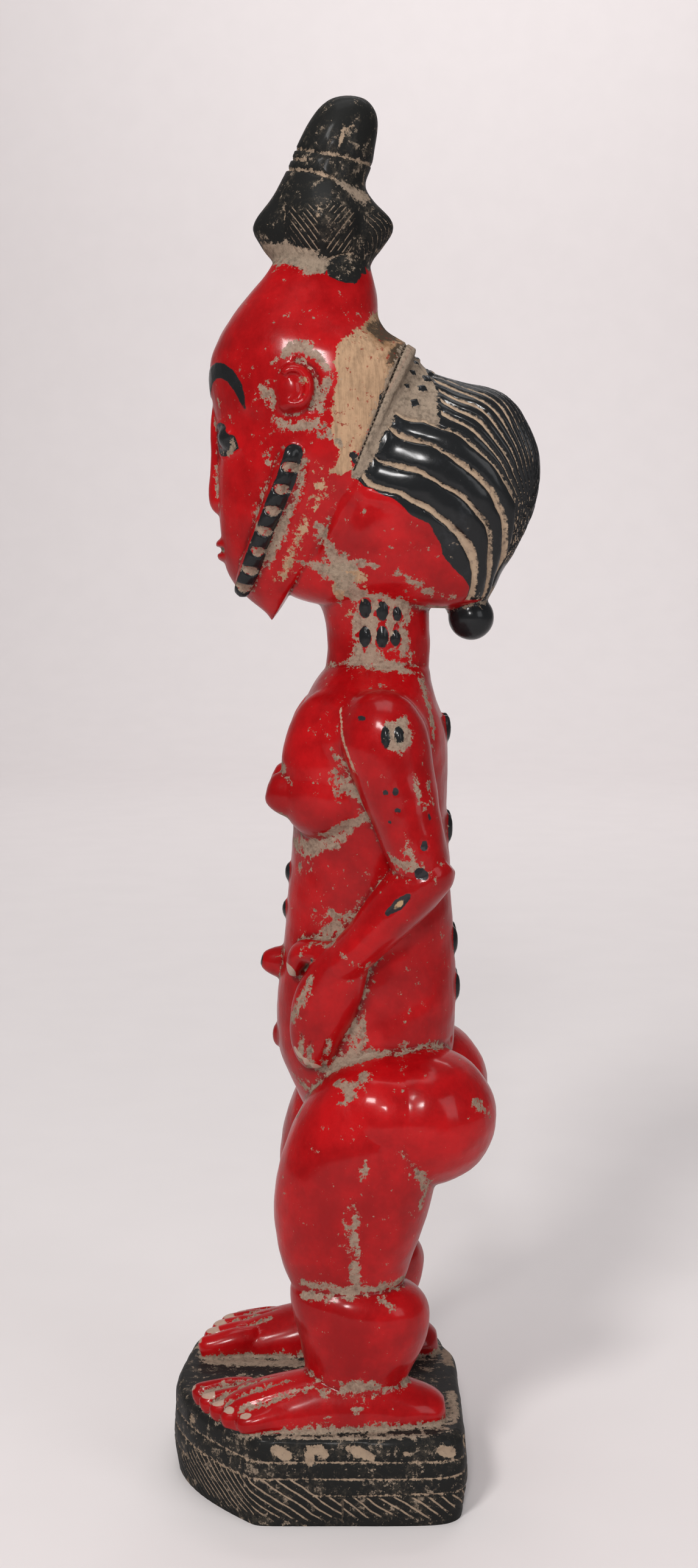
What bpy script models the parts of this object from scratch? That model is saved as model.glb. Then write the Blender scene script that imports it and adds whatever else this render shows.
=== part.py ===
"""A standing woman carved with her base from one block of wood: a spirit spouse figure.

Metres, +Z up. The figure faces -Y and her left side is +X. The origin is on the underside of
the base, at the middle of its plan. The free forms are drawn in millimetres on a drawing where
the base is DRAWN_BASE high and DRAWN_WIDTH wide, and spot() and reach() carry that drawing to
its real size: its widths with the base, because both come from one log, and the rest with the
figure's height.
"""

import math

import bmesh
import bpy
from mathutils import Matrix, Vector

# Driving dimensions
BASE_LENGTH = 0.0964
BASE_WIDTH = 0.0920
BASE_HEIGHT = 0.0287
BASE_EDGE = 0.0030
FIGURE_HEIGHT = 0.4163

# The drawing's own heights and width, which set its scale
DRAWN_BASE = 28.7
DRAWN_FIGURE = 416.3
DRAWN_WIDTH = 92.0
UNIT = FIGURE_HEIGHT / DRAWN_FIGURE
ACROSS = BASE_WIDTH / DRAWN_WIDTH

# How far the base runs past the floor before it is trimmed, and how finely the block is carved
SUNK = BASE_HEIGHT / 5
TOOL = FIGURE_HEIGHT / 330
TOOL_PASSES = 3
KEPT_SHARE = 0.041
RING = 28

# The base in plan, from her left side round by the back, as shares of its half width and half
# length. Her left front corner is cut back much further than the right one.
BASE_PLAN = [
    (1.00, 0.17), (1.00, 0.55), (0.985, 0.80), (0.94, 0.92), (0.84, 0.985), (0.60, 1.00),
    (0.11, 1.00), (-0.26, 1.00), (-0.48, 0.99), (-0.65, 0.94), (-0.83, 0.90), (-0.95, 0.83),
    (-1.00, 0.66), (-1.00, 0.21), (-1.00, -0.31), (-1.00, -0.66), (-0.97, -0.81),
    (-0.83, -0.90), (-0.63, -0.95), (-0.30, -0.99), (0.04, -1.00), (0.30, -0.93),
    (0.53, -0.81), (0.74, -0.65), (0.93, -0.47), (0.985, -0.40), (1.00, -0.28),
]

# The tips of the toes, from the big toe outwards: x, y and radius on the drawing
LEFT_TOES = [(18.6, -40.2, 3.7), (25.0, -37.6, 3.2), (30.8, -34.0, 3.1), (36.0, -30.0, 3.0),
             (40.2, -24.8, 2.8)]
RIGHT_TOES = [(-19.4, -41.0, 4.0), (-26.4, -39.6, 3.9), (-32.6, -37.2, 3.9), (-38.2, -34.2, 3.8),
              (-42.2, -30.6, 3.5)]

# The mask ends behind in two slanting planes that meet below the ear, and the hair hangs round
# a pivot in the throat: y and z on the drawing
MASK_CHIN = (-13.4, 283.5)
MASK_BEND = (13.0, 327.5)
MASK_CROWN = (31.6, 367.0)
HAIR_PIVOT = (-4.0, 290.0)

RED = (0.52, 0.018, 0.022, 1.0)


def spot(x, y, z):
    """A point of the drawing, in metres, with the soles on the base's top."""
    return Vector((x * ACROSS, y * UNIT, (z - DRAWN_BASE) * UNIT + BASE_HEIGHT))


def reach(x, y, z):
    """Lengths of the drawing along its three directions, in metres."""
    return Vector((x * ACROSS, y * UNIT, z * UNIT))


def squared(turn, power):
    """Cosine and sine of a turn, pushed out towards a square as the power rises above 2."""
    return [math.copysign(abs(v) ** (2 / power), v) for v in (math.cos(turn), math.sin(turn))]


def between(stations, steps):
    """The stations with smooth ones between them: a Catmull-Rom curve through every number."""
    filled = []
    last = len(stations) - 1
    for i in range(last):
        a, b, c, d = (stations[min(max(k, 0), last)] for k in (i - 1, i, i + 1, i + 2))
        for step in range(steps):
            t = step / steps
            weights = (
                (-t + 2 * t * t - t**3) / 2,
                (2 - 5 * t * t + 3 * t**3) / 2,
                (t + 4 * t * t - 3 * t**3) / 2,
                (t**3 - t * t) / 2,
            )
            filled.append([sum(w * v for w, v in zip(weights, four)) for four in zip(a, b, c, d)])
    return filled + [list(stations[-1])]


def skin(bm, rings):
    """A closed skin through rings of as many points each."""
    loops = []
    for n, points in enumerate(rings):
        ends = n in (0, len(rings) - 1)
        made = bmesh.ops.create_circle(bm, cap_ends=ends, segments=len(points), radius=1.0)
        for vert, point in zip(made["verts"], points):
            vert.co = point
        loops.append({e for v in made["verts"] for e in v.link_edges})
    for low, high in zip(loops, loops[1:]):
        bmesh.ops.bridge_loops(bm, edges=list(low | high))


def stack(bm, stations, power=2.0, steps=3):
    """Level rings, one above the other. A station is z, front y, back y, inner x, outer x and,
    where the form has four lobes, how deep the valleys between them are as a share."""
    rings = []
    for z, front, back, inner, outer, *lobe in between(stations, steps):
        depth = lobe[0] if lobe else 0.0
        points = []
        for k in range(RING):
            turn = 2 * math.pi * k / RING
            across, along = squared(turn, power)
            swell = 1 - depth * (1 - abs(math.cos(2 * turn)) ** 1.5)
            x = (inner + outer) / 2 + (outer - inner) / 2 * across * swell
            y = (front + back) / 2 + (back - front) / 2 * along * swell
            points.append(spot(x, y, z))
        rings.append(points)
    skin(bm, rings)


def centred(stations):
    """Stations of a form on the middle plane: its half width becomes its inner and outer x."""
    return [(z, front, back, -half, half, *rest) for z, front, back, half, *rest in stations]


def limb(bm, stations, steps=4):
    """Rings square to a path. A station is x, y, z, the radius across and the radius in plan."""
    filled = between(stations, steps)
    paths = [Vector(s[:3]) for s in filled]
    rings = []
    for n, (centre, station) in enumerate(zip(paths, filled)):
        ahead = paths[min(n + 1, len(paths) - 1)] - paths[max(n - 1, 0)]
        side = Vector((0, ahead.z, -ahead.y)).normalized()
        across = side.cross(ahead).normalized()
        points = []
        for k in range(RING):
            turn = 2 * math.pi * k / RING
            offset = across * math.cos(turn) * station[3] + side * math.sin(turn) * station[4]
            points.append(spot(*(centre + offset)))
        rings.append(points)
    skin(bm, rings)


def ball(bm, x, y, z, rx, ry, rz, pitch=0.0):
    """An ellipsoid, pitched forwards by degrees."""
    size = Matrix.Diagonal((*reach(rx, ry, rz), 1.0))
    place = Matrix.Translation(spot(x, y, z)) @ Matrix.Rotation(math.radians(pitch), 4, "X")
    bmesh.ops.create_uvsphere(bm, u_segments=24, v_segments=14, radius=1.0, matrix=place @ size)


def base_block(bm):
    """The base, a little fuller halfway up and eased at its top edge. It runs down past the
    floor, where the ground cutter trims it flat."""
    rows = [
        (-SUNK, 0.5),
        (0.0, 0.5),
        (BASE_HEIGHT * 0.2, 0.15),
        (BASE_HEIGHT * 0.42, 0.0),
        (BASE_HEIGHT * 0.7, 0.15),
        (BASE_HEIGHT - BASE_EDGE * 0.9, 0.3),
        (BASE_HEIGHT - BASE_EDGE * 0.3, 0.6),
        (BASE_HEIGHT, 1.0),
    ]
    steps = 3
    wrapped = BASE_PLAN[-1:] + BASE_PLAN + BASE_PLAN[:2]
    plan = between(wrapped, steps)[steps:steps * (len(BASE_PLAN) + 1)]
    rings = []
    for z, eased in rows:
        half_width = BASE_WIDTH / 2 - eased * BASE_EDGE
        half_length = BASE_LENGTH / 2 - eased * BASE_EDGE
        rings.append([Vector((x * half_width, y * half_length, z)) for x, y in plan])
    skin(bm, rings)


def foot(bm):
    """One foot without its toes, flat on the base."""
    stations = [
        (28.6, -29.0, 31.0, 8.0, 4.6),
        (28.8, -23.0, 31.0, 11.8, 8.0),
        (29.0, -12.0, 31.0, 12.2, 11.4),
        (28.8, 0.0, 31.0, 11.8, 13.6),
        (28.2, 12.0, 31.0, 11.6, 14.0),
        (27.6, 24.0, 31.0, 10.8, 11.4),
        (27.0, 33.0, 31.0, 9.8, 8.4),
        (27.0, 38.6, 31.0, 7.8, 5.8),
        (27.0, 41.2, 31.0, 4.2, 3.2),
    ]
    limb(bm, stations)


def toes(bm, tips):
    """The toes of one foot, straight ahead to their own tips."""
    for x, y, r in tips:
        middle = math.copysign(29.0, x)
        limb(
            bm,
            [
                (x + (middle - x) * 0.2, y + 19.0, 32.6, r * 0.9, r * 1.5),
                (x + (middle - x) * 0.1, y + 12.0, 32.6, r, r * 1.4),
                (x, y + 5.0, 31.8, r, r * 1.15),
                (x, y + 1.4, 31.2, r * 0.9, r),
                (x, y, 30.8, r * 0.5, r * 0.55),
            ],
        )


def leg(bm):
    """One bent leg: a barrel-shaped calf, a crease at the knee, and the thigh."""
    calf = [
        (30.0, -2.5, 29.0, 12.5, 36.5),
        (38.0, -2.8, 28.4, 12.3, 36.8),
        (44.0, -3.6, 30.5, 11.2, 38.0),
        (50.0, -4.8, 33.6, 10.0, 39.4),
        (57.0, -6.4, 35.8, 8.8, 40.6),
        (64.0, -7.8, 36.0, 8.4, 41.0),
        (69.0, -8.4, 33.0, 9.6, 39.8),
        (72.5, -7.6, 27.5, 12.6, 36.8),
        (74.5, -2.0, 20.0, 18.0, 31.0),
    ]
    stack(bm, calf, 2.2)
    thigh = [
        (68.0, -5.5, 24.0, 14.0, 35.0),
        (74.0, -9.0, 28.3, 11.0, 38.0),
        (80.0, -11.3, 30.2, 9.0, 40.0),
        (87.0, -12.8, 32.9, 7.2, 41.6),
        (98.0, -13.3, 36.4, 5.0, 43.2),
        (108.0, -12.3, 38.5, 3.6, 43.8),
        (118.0, -9.6, 40.0, 2.6, 43.6),
        (127.0, -5.6, 40.0, 2.6, 42.4),
        (135.0, 0.0, 38.0, 4.0, 39.6),
        (142.0, 8.0, 32.0, 9.0, 33.0),
    ]
    stack(bm, thigh, 2.2)


def hip(bm):
    """One buttock, round and set well back."""
    ball(bm, 20.0, 33.5, 125.4, 23.2, 24.0, 22.4)
    ball(bm, 21.5, 22.0, 126.5, 22.0, 24.0, 20.0)


def trunk(bm):
    """The long trunk, from the crotch to the sloping shoulders, with the belly forward."""
    rows = [
        (114.0, 2.0, 34.0, 17.0),
        (122.0, -3.0, 39.0, 22.0),
        (131.0, -7.6, 42.0, 24.6),
        (140.0, -11.6, 44.0, 25.4),
        (150.0, -13.3, 45.0, 25.2),
        (160.0, -13.0, 45.6, 24.6),
        (170.0, -11.9, 45.4, 24.0),
        (182.0, -10.4, 44.6, 23.6),
        (196.0, -9.2, 43.6, 24.0),
        (210.0, -8.0, 42.9, 25.6),
        (224.0, -7.6, 42.2, 28.8),
        (236.0, -8.0, 42.4, 32.4),
        (245.0, -7.8, 42.0, 35.2),
        (252.0, -6.2, 40.4, 35.2),
        (257.5, -3.4, 38.4, 31.6),
        (262.5, -0.6, 36.8, 24.0),
        (267.0, 2.6, 36.0, 17.4),
        (269.4, 6.0, 33.0, 13.0),
    ]
    stack(bm, centred(rows), 2.3)
    navel = [
        (0.0, -8.0, 170.6, 5.6, 6.0),
        (0.0, -12.0, 171.0, 4.8, 5.4),
        (0.0, -15.4, 171.4, 3.8, 4.2),
        (0.0, -17.6, 171.8, 2.6, 2.8),
        (0.0, -18.4, 172.0, 1.2, 1.3),
    ]
    limb(bm, navel, 2)


def chest(bm):
    """One breast, running out to its nipple."""
    ball(bm, 15.8, 6.4, 237.0, 15.0, 17.4, 25.0)
    ball(bm, 16.6, 4.2, 228.2, 14.2, 15.2, 15.0)
    nipple = [
        (17.0, -3.0, 228.4, 8.6, 9.2),
        (17.4, -8.0, 228.6, 7.4, 8.0),
        (17.8, -12.4, 229.0, 5.6, 6.2),
        (18.0, -14.6, 229.2, 3.8, 4.4),
        (18.1, -15.6, 229.4, 1.6, 2.0),
    ]
    limb(bm, nipple, 3)


def neck(bm):
    """The long round neck, with the throat and the nape that carry the head."""
    rows = [
        (258.0, 1.0, 37.0, 18.0),
        (266.0, 2.6, 36.0, 15.8),
        (275.0, 3.3, 36.6, 15.4),
        (284.0, 2.2, 36.2, 15.6),
        (292.0, -1.0, 37.0, 16.4),
        (302.0, -4.0, 38.0, 17.0),
    ]
    stack(bm, centred(rows))
    under_hair = [
        (286.4, 6.0, 44.0, 10.0),
        (288.6, -4.0, 53.0, 14.6),
        (292.0, -10.0, 56.0, 17.6),
        (298.0, -12.0, 58.0, 20.6),
        (306.0, -12.0, 60.0, 22.6),
        (316.0, -10.0, 60.0, 23.6),
        (326.0, -8.0, 56.0, 23.0),
    ]
    stack(bm, centred(under_hair), 2.6)


def arm(bm):
    """One arm, bent and joined to the side, with the forearm coming forward to the belly."""
    upper = [
        (25.0, 18.6, 257.4, 5.0, 5.0),
        (28.4, 19.4, 254.6, 10.4, 10.6),
        (31.6, 21.2, 247.4, 13.4, 13.6),
        (33.0, 24.8, 234.0, 12.8, 12.2),
        (33.6, 28.2, 222.0, 12.2, 10.6),
        (34.0, 31.0, 213.0, 12.0, 9.6),
        (34.2, 32.8, 206.6, 11.0, 8.4),
        (34.0, 33.4, 201.6, 7.0, 5.0),
    ]
    limb(bm, upper)
    fore = [
        (34.0, 40.2, 209.6, 7.0, 4.4),
        (34.0, 36.8, 206.8, 11.0, 7.4),
        (33.4, 30.6, 201.4, 12.2, 8.8),
        (32.0, 22.6, 192.2, 11.6, 8.2),
        (30.0, 15.6, 184.0, 10.4, 7.2),
        (28.0, 10.6, 178.2, 9.4, 6.8),
        (26.4, 7.0, 174.4, 8.0, 6.4),
    ]
    limb(bm, fore)


def hand(bm):
    """One hand, laid flat on the side of the belly with its thumb forward."""
    palm = [
        (28.4, 12.0, 180.4, 7.4, 6.4),
        (26.8, 7.6, 173.2, 7.8, 9.0),
        (24.8, 3.0, 163.0, 7.8, 10.2),
        (23.2, 0.4, 153.6, 7.0, 9.0),
        (22.2, 0.2, 146.4, 5.8, 6.8),
        (21.6, 1.0, 142.2, 3.6, 4.4),
    ]
    limb(bm, palm)
    thumb = [
        (25.0, 9.0, 177.4, 6.4, 4.6),
        (22.6, 2.0, 178.6, 6.0, 4.0),
        (19.6, -3.8, 178.2, 5.4, 3.8),
        (17.8, -6.4, 174.4, 5.0, 3.2),
        (17.2, -6.6, 170.6, 3.0, 2.2),
    ]
    limb(bm, thumb)


def face_mask(bm):
    """The face and crown, cut off behind along the jaw and along the band before the hair."""
    rows = [
        (281.0, -13.8, -11.0, 1.6),
        (285.0, -16.4, -4.0, 5.6),
        (289.0, -21.6, 4.0, 9.6),
        (294.0, -26.4, 12.0, 13.6),
        (301.0, -29.2, 20.0, 17.8),
        (308.0, -30.4, 28.0, 20.8),
        (316.0, -31.0, 34.0, 23.4),
        (325.0, -31.2, 38.0, 25.6),
        (335.0, -31.0, 40.0, 27.0),
        (345.0, -31.6, 40.0, 27.8),
        (354.0, -33.2, 40.0, 28.0),
        (361.0, -33.4, 38.0, 27.6),
        (366.0, -32.6, 34.0, 26.6),
        (370.0, -31.0, 27.0, 25.0),
        (373.0, -29.4, 22.4, 23.6),
        (377.0, -26.8, 19.8, 21.6),
        (381.0, -24.0, 19.6, 19.8),
        (385.0, -20.8, 19.2, 18.2),
        (390.0, -16.4, 18.0, 15.8),
        (395.0, -13.2, 16.8, 13.8),
        (399.0, -12.0, 15.0, 12.0),
    ]
    shell = bmesh.new()
    stack(shell, centred(rows), 2.15)
    ear_level = spot(0.0, *MASK_BEND)
    for end in (MASK_CHIN, MASK_CROWN):
        slant = spot(0.0, *end) - ear_level
        if slant.z < 0:
            slant.negate()
        cut = bmesh.ops.bisect_plane(
            shell,
            geom=shell.verts[:] + shell.edges[:] + shell.faces[:],
            plane_co=ear_level,
            plane_no=Vector((0.0, slant.z, -slant.y)),
            clear_outer=True,
        )
        rim = [e for e in cut["geom_cut"] if isinstance(e, bmesh.types.BMEdge)]
        bmesh.ops.contextual_create(shell, geom=rim)
    mesh = bpy.data.meshes.new("face_mask")
    shell.to_mesh(mesh)
    shell.free()
    bm.from_mesh(mesh)
    bpy.data.meshes.remove(mesh)


def features(bm):
    """The nose, straight down from the brow, and the small lips."""
    limb(
        bm,
        [
            (0.0, -30.0, 354.0, 1.8, 2.2),
            (0.0, -30.8, 345.0, 2.4, 2.6),
            (0.0, -31.0, 332.0, 3.2, 2.8),
            (0.0, -30.8, 321.0, 4.6, 3.4),
            (0.0, -29.6, 316.6, 3.0, 2.0),
        ],
    )
    ball(bm, 0.0, -29.4, 306.6, 5.6, 2.8, 2.1)
    ball(bm, 0.0, -28.9, 303.0, 5.0, 2.7, 1.9)


def cheek(bm):
    """One side of the head: the C-shaped ear, the eye, and the notched band along the jaw."""
    rim = []
    for degrees in range(-150, 121, 30):
        turn = math.radians(degrees)
        rim.append((26.4, -6.0 + 4.1 * math.cos(turn), 353.2 + 5.2 * math.sin(turn), 3.2, 2.2))
    limb(bm, rim, 2)
    ball(bm, 10.0, -26.6, 339.8, 6.4, 4.0, 3.6)
    band = [
        (24.6, -6.4, 335.6, 2.0, 1.8),
        (24.2, -7.8, 332.6, 3.6, 3.0),
        (22.6, -11.4, 323.0, 3.8, 3.1),
        (19.8, -15.2, 313.0, 3.8, 3.1),
        (15.6, -19.2, 303.0, 3.6, 3.1),
        (10.8, -22.4, 295.0, 3.4, 2.9),
        (8.4, -23.4, 291.4, 2.2, 2.0),
    ]
    limb(bm, band)


def hair_mass(bm):
    """The hair swept back from the slanting edge and down to its knot: rings in planes that
    turn about the pivot. A station is degrees, inner radius, outer radius, half width."""
    rows = [
        (-1.0, 24.0, 59.0, 11.0),
        (3.0, 22.0, 61.5, 13.6),
        (8.0, 18.0, 64.6, 16.4),
        (15.0, 13.0, 71.8, 19.8),
        (22.0, 9.0, 79.4, 22.2),
        (30.0, 6.0, 86.4, 24.0),
        (38.0, 4.0, 89.8, 25.0),
        (46.0, 3.0, 89.6, 25.2),
        (54.0, 2.0, 83.4, 24.4),
        (61.0, 1.0, 80.4, 23.6),
        (68.0, 1.0, 76.0, 22.0),
    ]
    rings = []
    for degrees, inner, outer, half in between(rows, 3):
        tilt = math.radians(degrees)
        points = []
        for k in range(RING):
            across, out = squared(2 * math.pi * k / RING, 2.35)
            r = (inner + outer) / 2 + (outer - inner) / 2 * out
            y = HAIR_PIVOT[0] + r * math.cos(tilt)
            z = HAIR_PIVOT[1] + r * math.sin(tilt)
            points.append(spot(half * across, y, z))
        rings.append(points)
    skin(bm, rings)
    ball(bm, 0.0, 46.6, 287.4, 6.4, 5.6, 5.0)
    ball(bm, 0.0, 49.5, 283.4, 7.4, 7.4, 7.4)


def topknot(bm):
    """The topknot: a bell with four lobes under a stem that leans back."""
    rows = [
        (390.0, -13.0, 17.0, 14.2, 0.0),
        (394.5, -13.6, 17.8, 15.6, 0.04),
        (399.0, -16.8, 21.2, 19.0, 0.16),
        (404.0, -19.8, 24.2, 22.0, 0.26),
        (408.0, -18.8, 23.4, 21.0, 0.24),
        (413.0, -14.8, 18.6, 16.8, 0.12),
        (418.0, -11.6, 15.4, 13.2, 0.0),
        (424.0, -8.4, 17.4, 12.6, 0.0),
        (431.0, -5.4, 18.8, 11.8, 0.0),
        (437.0, -2.2, 19.4, 10.6, 0.0),
        (441.0, 0.8, 18.4, 8.6, 0.0),
        (443.8, 4.4, 15.8, 5.4, 0.0),
        (445.0, 8.4, 11.8, 1.6, 0.0),
    ]
    stack(bm, centred(rows))


def rough_out(name):
    """All the forms in one mesh, the paired ones on both sides."""
    bm = bmesh.new()
    for form in (foot, leg, hip, chest, arm, hand, cheek):
        form(bm)
    whole = bm.verts[:] + bm.edges[:] + bm.faces[:]
    bmesh.ops.mirror(bm, geom=whole, matrix=Matrix.Identity(4), merge_dist=0.0, axis="X")
    for form in (base_block, trunk, neck, face_mask, features, hair_mass, topknot):
        form(bm)
    toes(bm, LEFT_TOES)
    toes(bm, RIGHT_TOES)
    bmesh.ops.recalc_face_normals(bm, faces=bm.faces)
    mesh = bpy.data.meshes.new(name)
    bm.to_mesh(mesh)
    bm.free()
    return mesh


def painted_wood():
    """The red paint that covers most of the wood."""
    material = bpy.data.materials.new("painted_wood")
    material.use_nodes = True
    shader = material.node_tree.nodes["Principled BSDF"]
    shader.inputs["Base Color"].default_value = RED
    shader.inputs["Roughness"].default_value = 0.35
    shader.inputs["Metallic"].default_value = 0.0
    material.diffuse_color = RED
    return material


def ground_cutter(collection):
    """A block below the floor, which trims the base flat."""
    bm = bmesh.new()
    wide = 2 * max(BASE_LENGTH, BASE_WIDTH)
    place = Matrix.Translation((0.0, 0.0, -SUNK)) @ Matrix.Diagonal((wide, wide, 2 * SUNK, 1.0))
    bmesh.ops.create_cube(bm, size=1.0, matrix=place)
    mesh = bpy.data.meshes.new("ground_cutter")
    bm.to_mesh(mesh)
    bm.free()
    cutter = bpy.data.objects.new("ground_cutter", mesh)
    cutter.hide_render = True
    cutter.display_type = "WIRE"
    collection.objects.link(cutter)
    return cutter


def carve(collection, cutter):
    """Fuses the forms into one block, softens the tool marks and trims the underside."""
    figure = bpy.data.objects.new("figure", rough_out("figure"))
    collection.objects.link(figure)
    figure.data.materials.append(painted_wood())
    fuse = figure.modifiers.new("fuse", "REMESH")
    fuse.mode = "VOXEL"
    fuse.voxel_size = TOOL
    fuse.use_smooth_shade = True
    soften = figure.modifiers.new("soften", "SMOOTH")
    soften.factor = 0.5
    soften.iterations = TOOL_PASSES
    thin = figure.modifiers.new("thin", "DECIMATE")
    thin.ratio = KEPT_SHARE
    trim = figure.modifiers.new("trim", "BOOLEAN")
    trim.operation = "DIFFERENCE"
    trim.object = cutter
    return figure


def main():
    for old in list(bpy.data.objects):
        bpy.data.objects.remove(old)
    scene = bpy.context.scene
    parts = bpy.data.collections.new("spirit_spouse_figure")
    cutters = bpy.data.collections.new("cutters")
    scene.collection.children.link(parts)
    scene.collection.children.link(cutters)
    carve(parts, ground_cutter(cutters))


main()
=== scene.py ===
"""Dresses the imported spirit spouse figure: one carved and painted log, with its floor, light and
camera.

The free forms are drawn in millimetres, with the figure facing -Y and her left side towards +X,
and the finished mesh is brought to the frame's metres at the end. What is painted or carved on
her sides is placed as it is seen from her left: (a, b) is where a point falls on an upright plane
SIDE_PLANE to her left, seen from EYE, and her right side is the same drawing mirrored.
"""

import math

import bmesh
import bpy
import numpy as np
from mathutils import Matrix, Vector
from mathutils.kdtree import KDTree


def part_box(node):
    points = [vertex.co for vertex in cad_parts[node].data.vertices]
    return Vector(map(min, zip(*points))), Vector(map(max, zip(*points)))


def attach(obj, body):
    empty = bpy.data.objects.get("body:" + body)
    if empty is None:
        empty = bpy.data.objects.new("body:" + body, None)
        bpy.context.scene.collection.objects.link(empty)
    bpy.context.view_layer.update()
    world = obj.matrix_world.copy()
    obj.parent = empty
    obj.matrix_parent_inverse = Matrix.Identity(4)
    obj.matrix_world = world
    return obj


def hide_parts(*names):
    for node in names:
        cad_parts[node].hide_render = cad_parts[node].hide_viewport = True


bl_info = {
    "name": "Spirit spouse figure",
    "version": (1, 0, 0),
    "blender": (4, 5, 0),
    "location": "3D View > Sidebar > Figure",
    "description": "Carves and paints a standing wooden spirit spouse figure on its base",
    "category": "Object",
}

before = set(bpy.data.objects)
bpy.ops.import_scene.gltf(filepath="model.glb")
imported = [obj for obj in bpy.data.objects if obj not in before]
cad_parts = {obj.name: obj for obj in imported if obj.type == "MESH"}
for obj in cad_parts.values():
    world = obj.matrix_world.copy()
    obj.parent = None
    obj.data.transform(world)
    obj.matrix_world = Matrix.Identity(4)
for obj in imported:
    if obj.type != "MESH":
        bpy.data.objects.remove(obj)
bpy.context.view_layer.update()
FIGURE_LOW, FIGURE_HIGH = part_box("figure")

# The drawing is this high, in millimetres, and one of its millimetres is this many metres
DRAWN_HEIGHT = 445.0
MM = (FIGURE_HIGH.z - FIGURE_LOW.z) / DRAWN_HEIGHT

# The viewer's place, in millimetres, and how the photograph was framed
EYE = (608.0, 10.4, 295.8)
SIDE_PLANE = 20.0
PICTURE_HEIGHT = 2576.0
FOCAL_PIXELS = 3100.0
LOOK_DOWN = math.atan(338.0 / FOCAL_PIXELS)
SENSOR_HEIGHT = 36.0

# The base in plan, as shares of its half width and half length, and its sizes in millimetres
BASE_TOP = 28.7
BASE_HALF = (46.0, 48.2)
BASE_EASE = 3.0
SUNK = 5.7
BASE_PLAN = [
    (1.00, 0.17), (1.00, 0.55), (0.985, 0.80), (0.94, 0.92), (0.84, 0.985), (0.60, 1.00),
    (0.11, 1.00), (-0.26, 1.00), (-0.48, 0.99), (-0.65, 0.94), (-0.83, 0.90), (-0.95, 0.83),
    (-1.00, 0.66), (-1.00, 0.21), (-1.00, -0.31), (-1.00, -0.66), (-0.97, -0.81),
    (-0.83, -0.90), (-0.63, -0.95), (-0.30, -0.99), (0.04, -1.00), (0.30, -0.93),
    (0.53, -0.81), (0.74, -0.65), (0.93, -0.47), (0.985, -0.40), (1.00, -0.28),
]

LEFT_TOES = [(18.6, -40.2, 3.7), (25.0, -37.6, 3.2), (30.8, -34.0, 3.1), (36.0, -30.0, 3.0),
             (40.2, -24.8, 2.8)]
RIGHT_TOES = [(-19.4, -41.0, 4.0), (-26.4, -39.6, 3.9), (-32.6, -37.2, 3.9), (-38.2, -34.2, 3.8),
              (-42.2, -30.6, 3.5)]
FOOT_MIDDLE = 29.0

# Points on the middle plane, as y and z: the face's back edge from its chin by its bend to its
# crown, what the hair turns about, and the middle of its knot
MASK_CHIN = (-13.4, 283.5)
MASK_BEND = (13.0, 327.5)
MASK_CROWN = (31.6, 367.0)
HAIR_PIVOT = (-4.0, 290.0)
HAIR_KNOT = (49.5, 283.4)
HAIR_KNOT_HALF = 7.4

# Points in a ring of a form
RING = 48


def squared(turn, power):
    """Cosine and sine of a turn, pushed out towards a square as the power rises above 2."""
    return [math.copysign(abs(v) ** (2 / power), v) for v in (math.cos(turn), math.sin(turn))]


def between(stations, steps):
    """The stations with smooth ones between them: a Catmull-Rom curve through every number."""
    filled = []
    last = len(stations) - 1
    for i in range(last):
        a, b, c, d = (stations[min(max(k, 0), last)] for k in (i - 1, i, i + 1, i + 2))
        for step in range(steps):
            t = step / steps
            weights = (
                (-t + 2 * t * t - t**3) / 2,
                (2 - 5 * t * t + 3 * t**3) / 2,
                (t + 4 * t * t - 3 * t**3) / 2,
                (t**3 - t * t) / 2,
            )
            filled.append([sum(w * v for w, v in zip(weights, four)) for four in zip(a, b, c, d)])
    return filled + [list(stations[-1])]


def skin(bm, rings):
    """A closed skin through rings of as many points each."""
    loops = []
    for n, points in enumerate(rings):
        ends = n in (0, len(rings) - 1)
        made = bmesh.ops.create_circle(bm, cap_ends=ends, segments=len(points), radius=1.0)
        for vert, point in zip(made["verts"], points):
            vert.co = point
        loops.append({e for v in made["verts"] for e in v.link_edges})
    for low, high in zip(loops, loops[1:]):
        bmesh.ops.bridge_loops(bm, edges=list(low | high))


def stack(bm, stations, power=2.0, steps=6):
    """Level rings, one above the other. A station is z, front y, back y, inner x, outer x and,
    where the form has four lobes, how deep the valleys between them are as a share."""
    rings = []
    for z, front, back, inner, outer, *lobe in between(stations, steps):
        depth = lobe[0] if lobe else 0.0
        points = []
        for k in range(RING):
            turn = 2 * math.pi * k / RING
            across, along = squared(turn, power)
            swell = 1 - depth * (1 - abs(math.cos(2 * turn)) ** 1.5)
            x = (inner + outer) / 2 + (outer - inner) / 2 * across * swell
            y = (front + back) / 2 + (back - front) / 2 * along * swell
            points.append(Vector((x, y, z)))
        rings.append(points)
    skin(bm, rings)


def centred(stations):
    """Stations of a form on the middle plane: its half width becomes its inner and outer x."""
    return [(z, front, back, -half, half, *rest) for z, front, back, half, *rest in stations]


def limb(bm, stations, steps=6):
    """Rings square to a path. A station is x, y, z, the radius across and the radius in plan."""
    filled = between(stations, steps)
    paths = [Vector(s[:3]) for s in filled]
    rings = []
    for n, (centre, station) in enumerate(zip(paths, filled)):
        ahead = paths[min(n + 1, len(paths) - 1)] - paths[max(n - 1, 0)]
        side = Vector((0, ahead.z, -ahead.y)).normalized()
        across = side.cross(ahead).normalized()
        points = []
        for k in range(RING):
            turn = 2 * math.pi * k / RING
            offset = across * math.cos(turn) * station[3] + side * math.sin(turn) * station[4]
            points.append(centre + offset)
        rings.append(points)
    skin(bm, rings)


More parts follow.
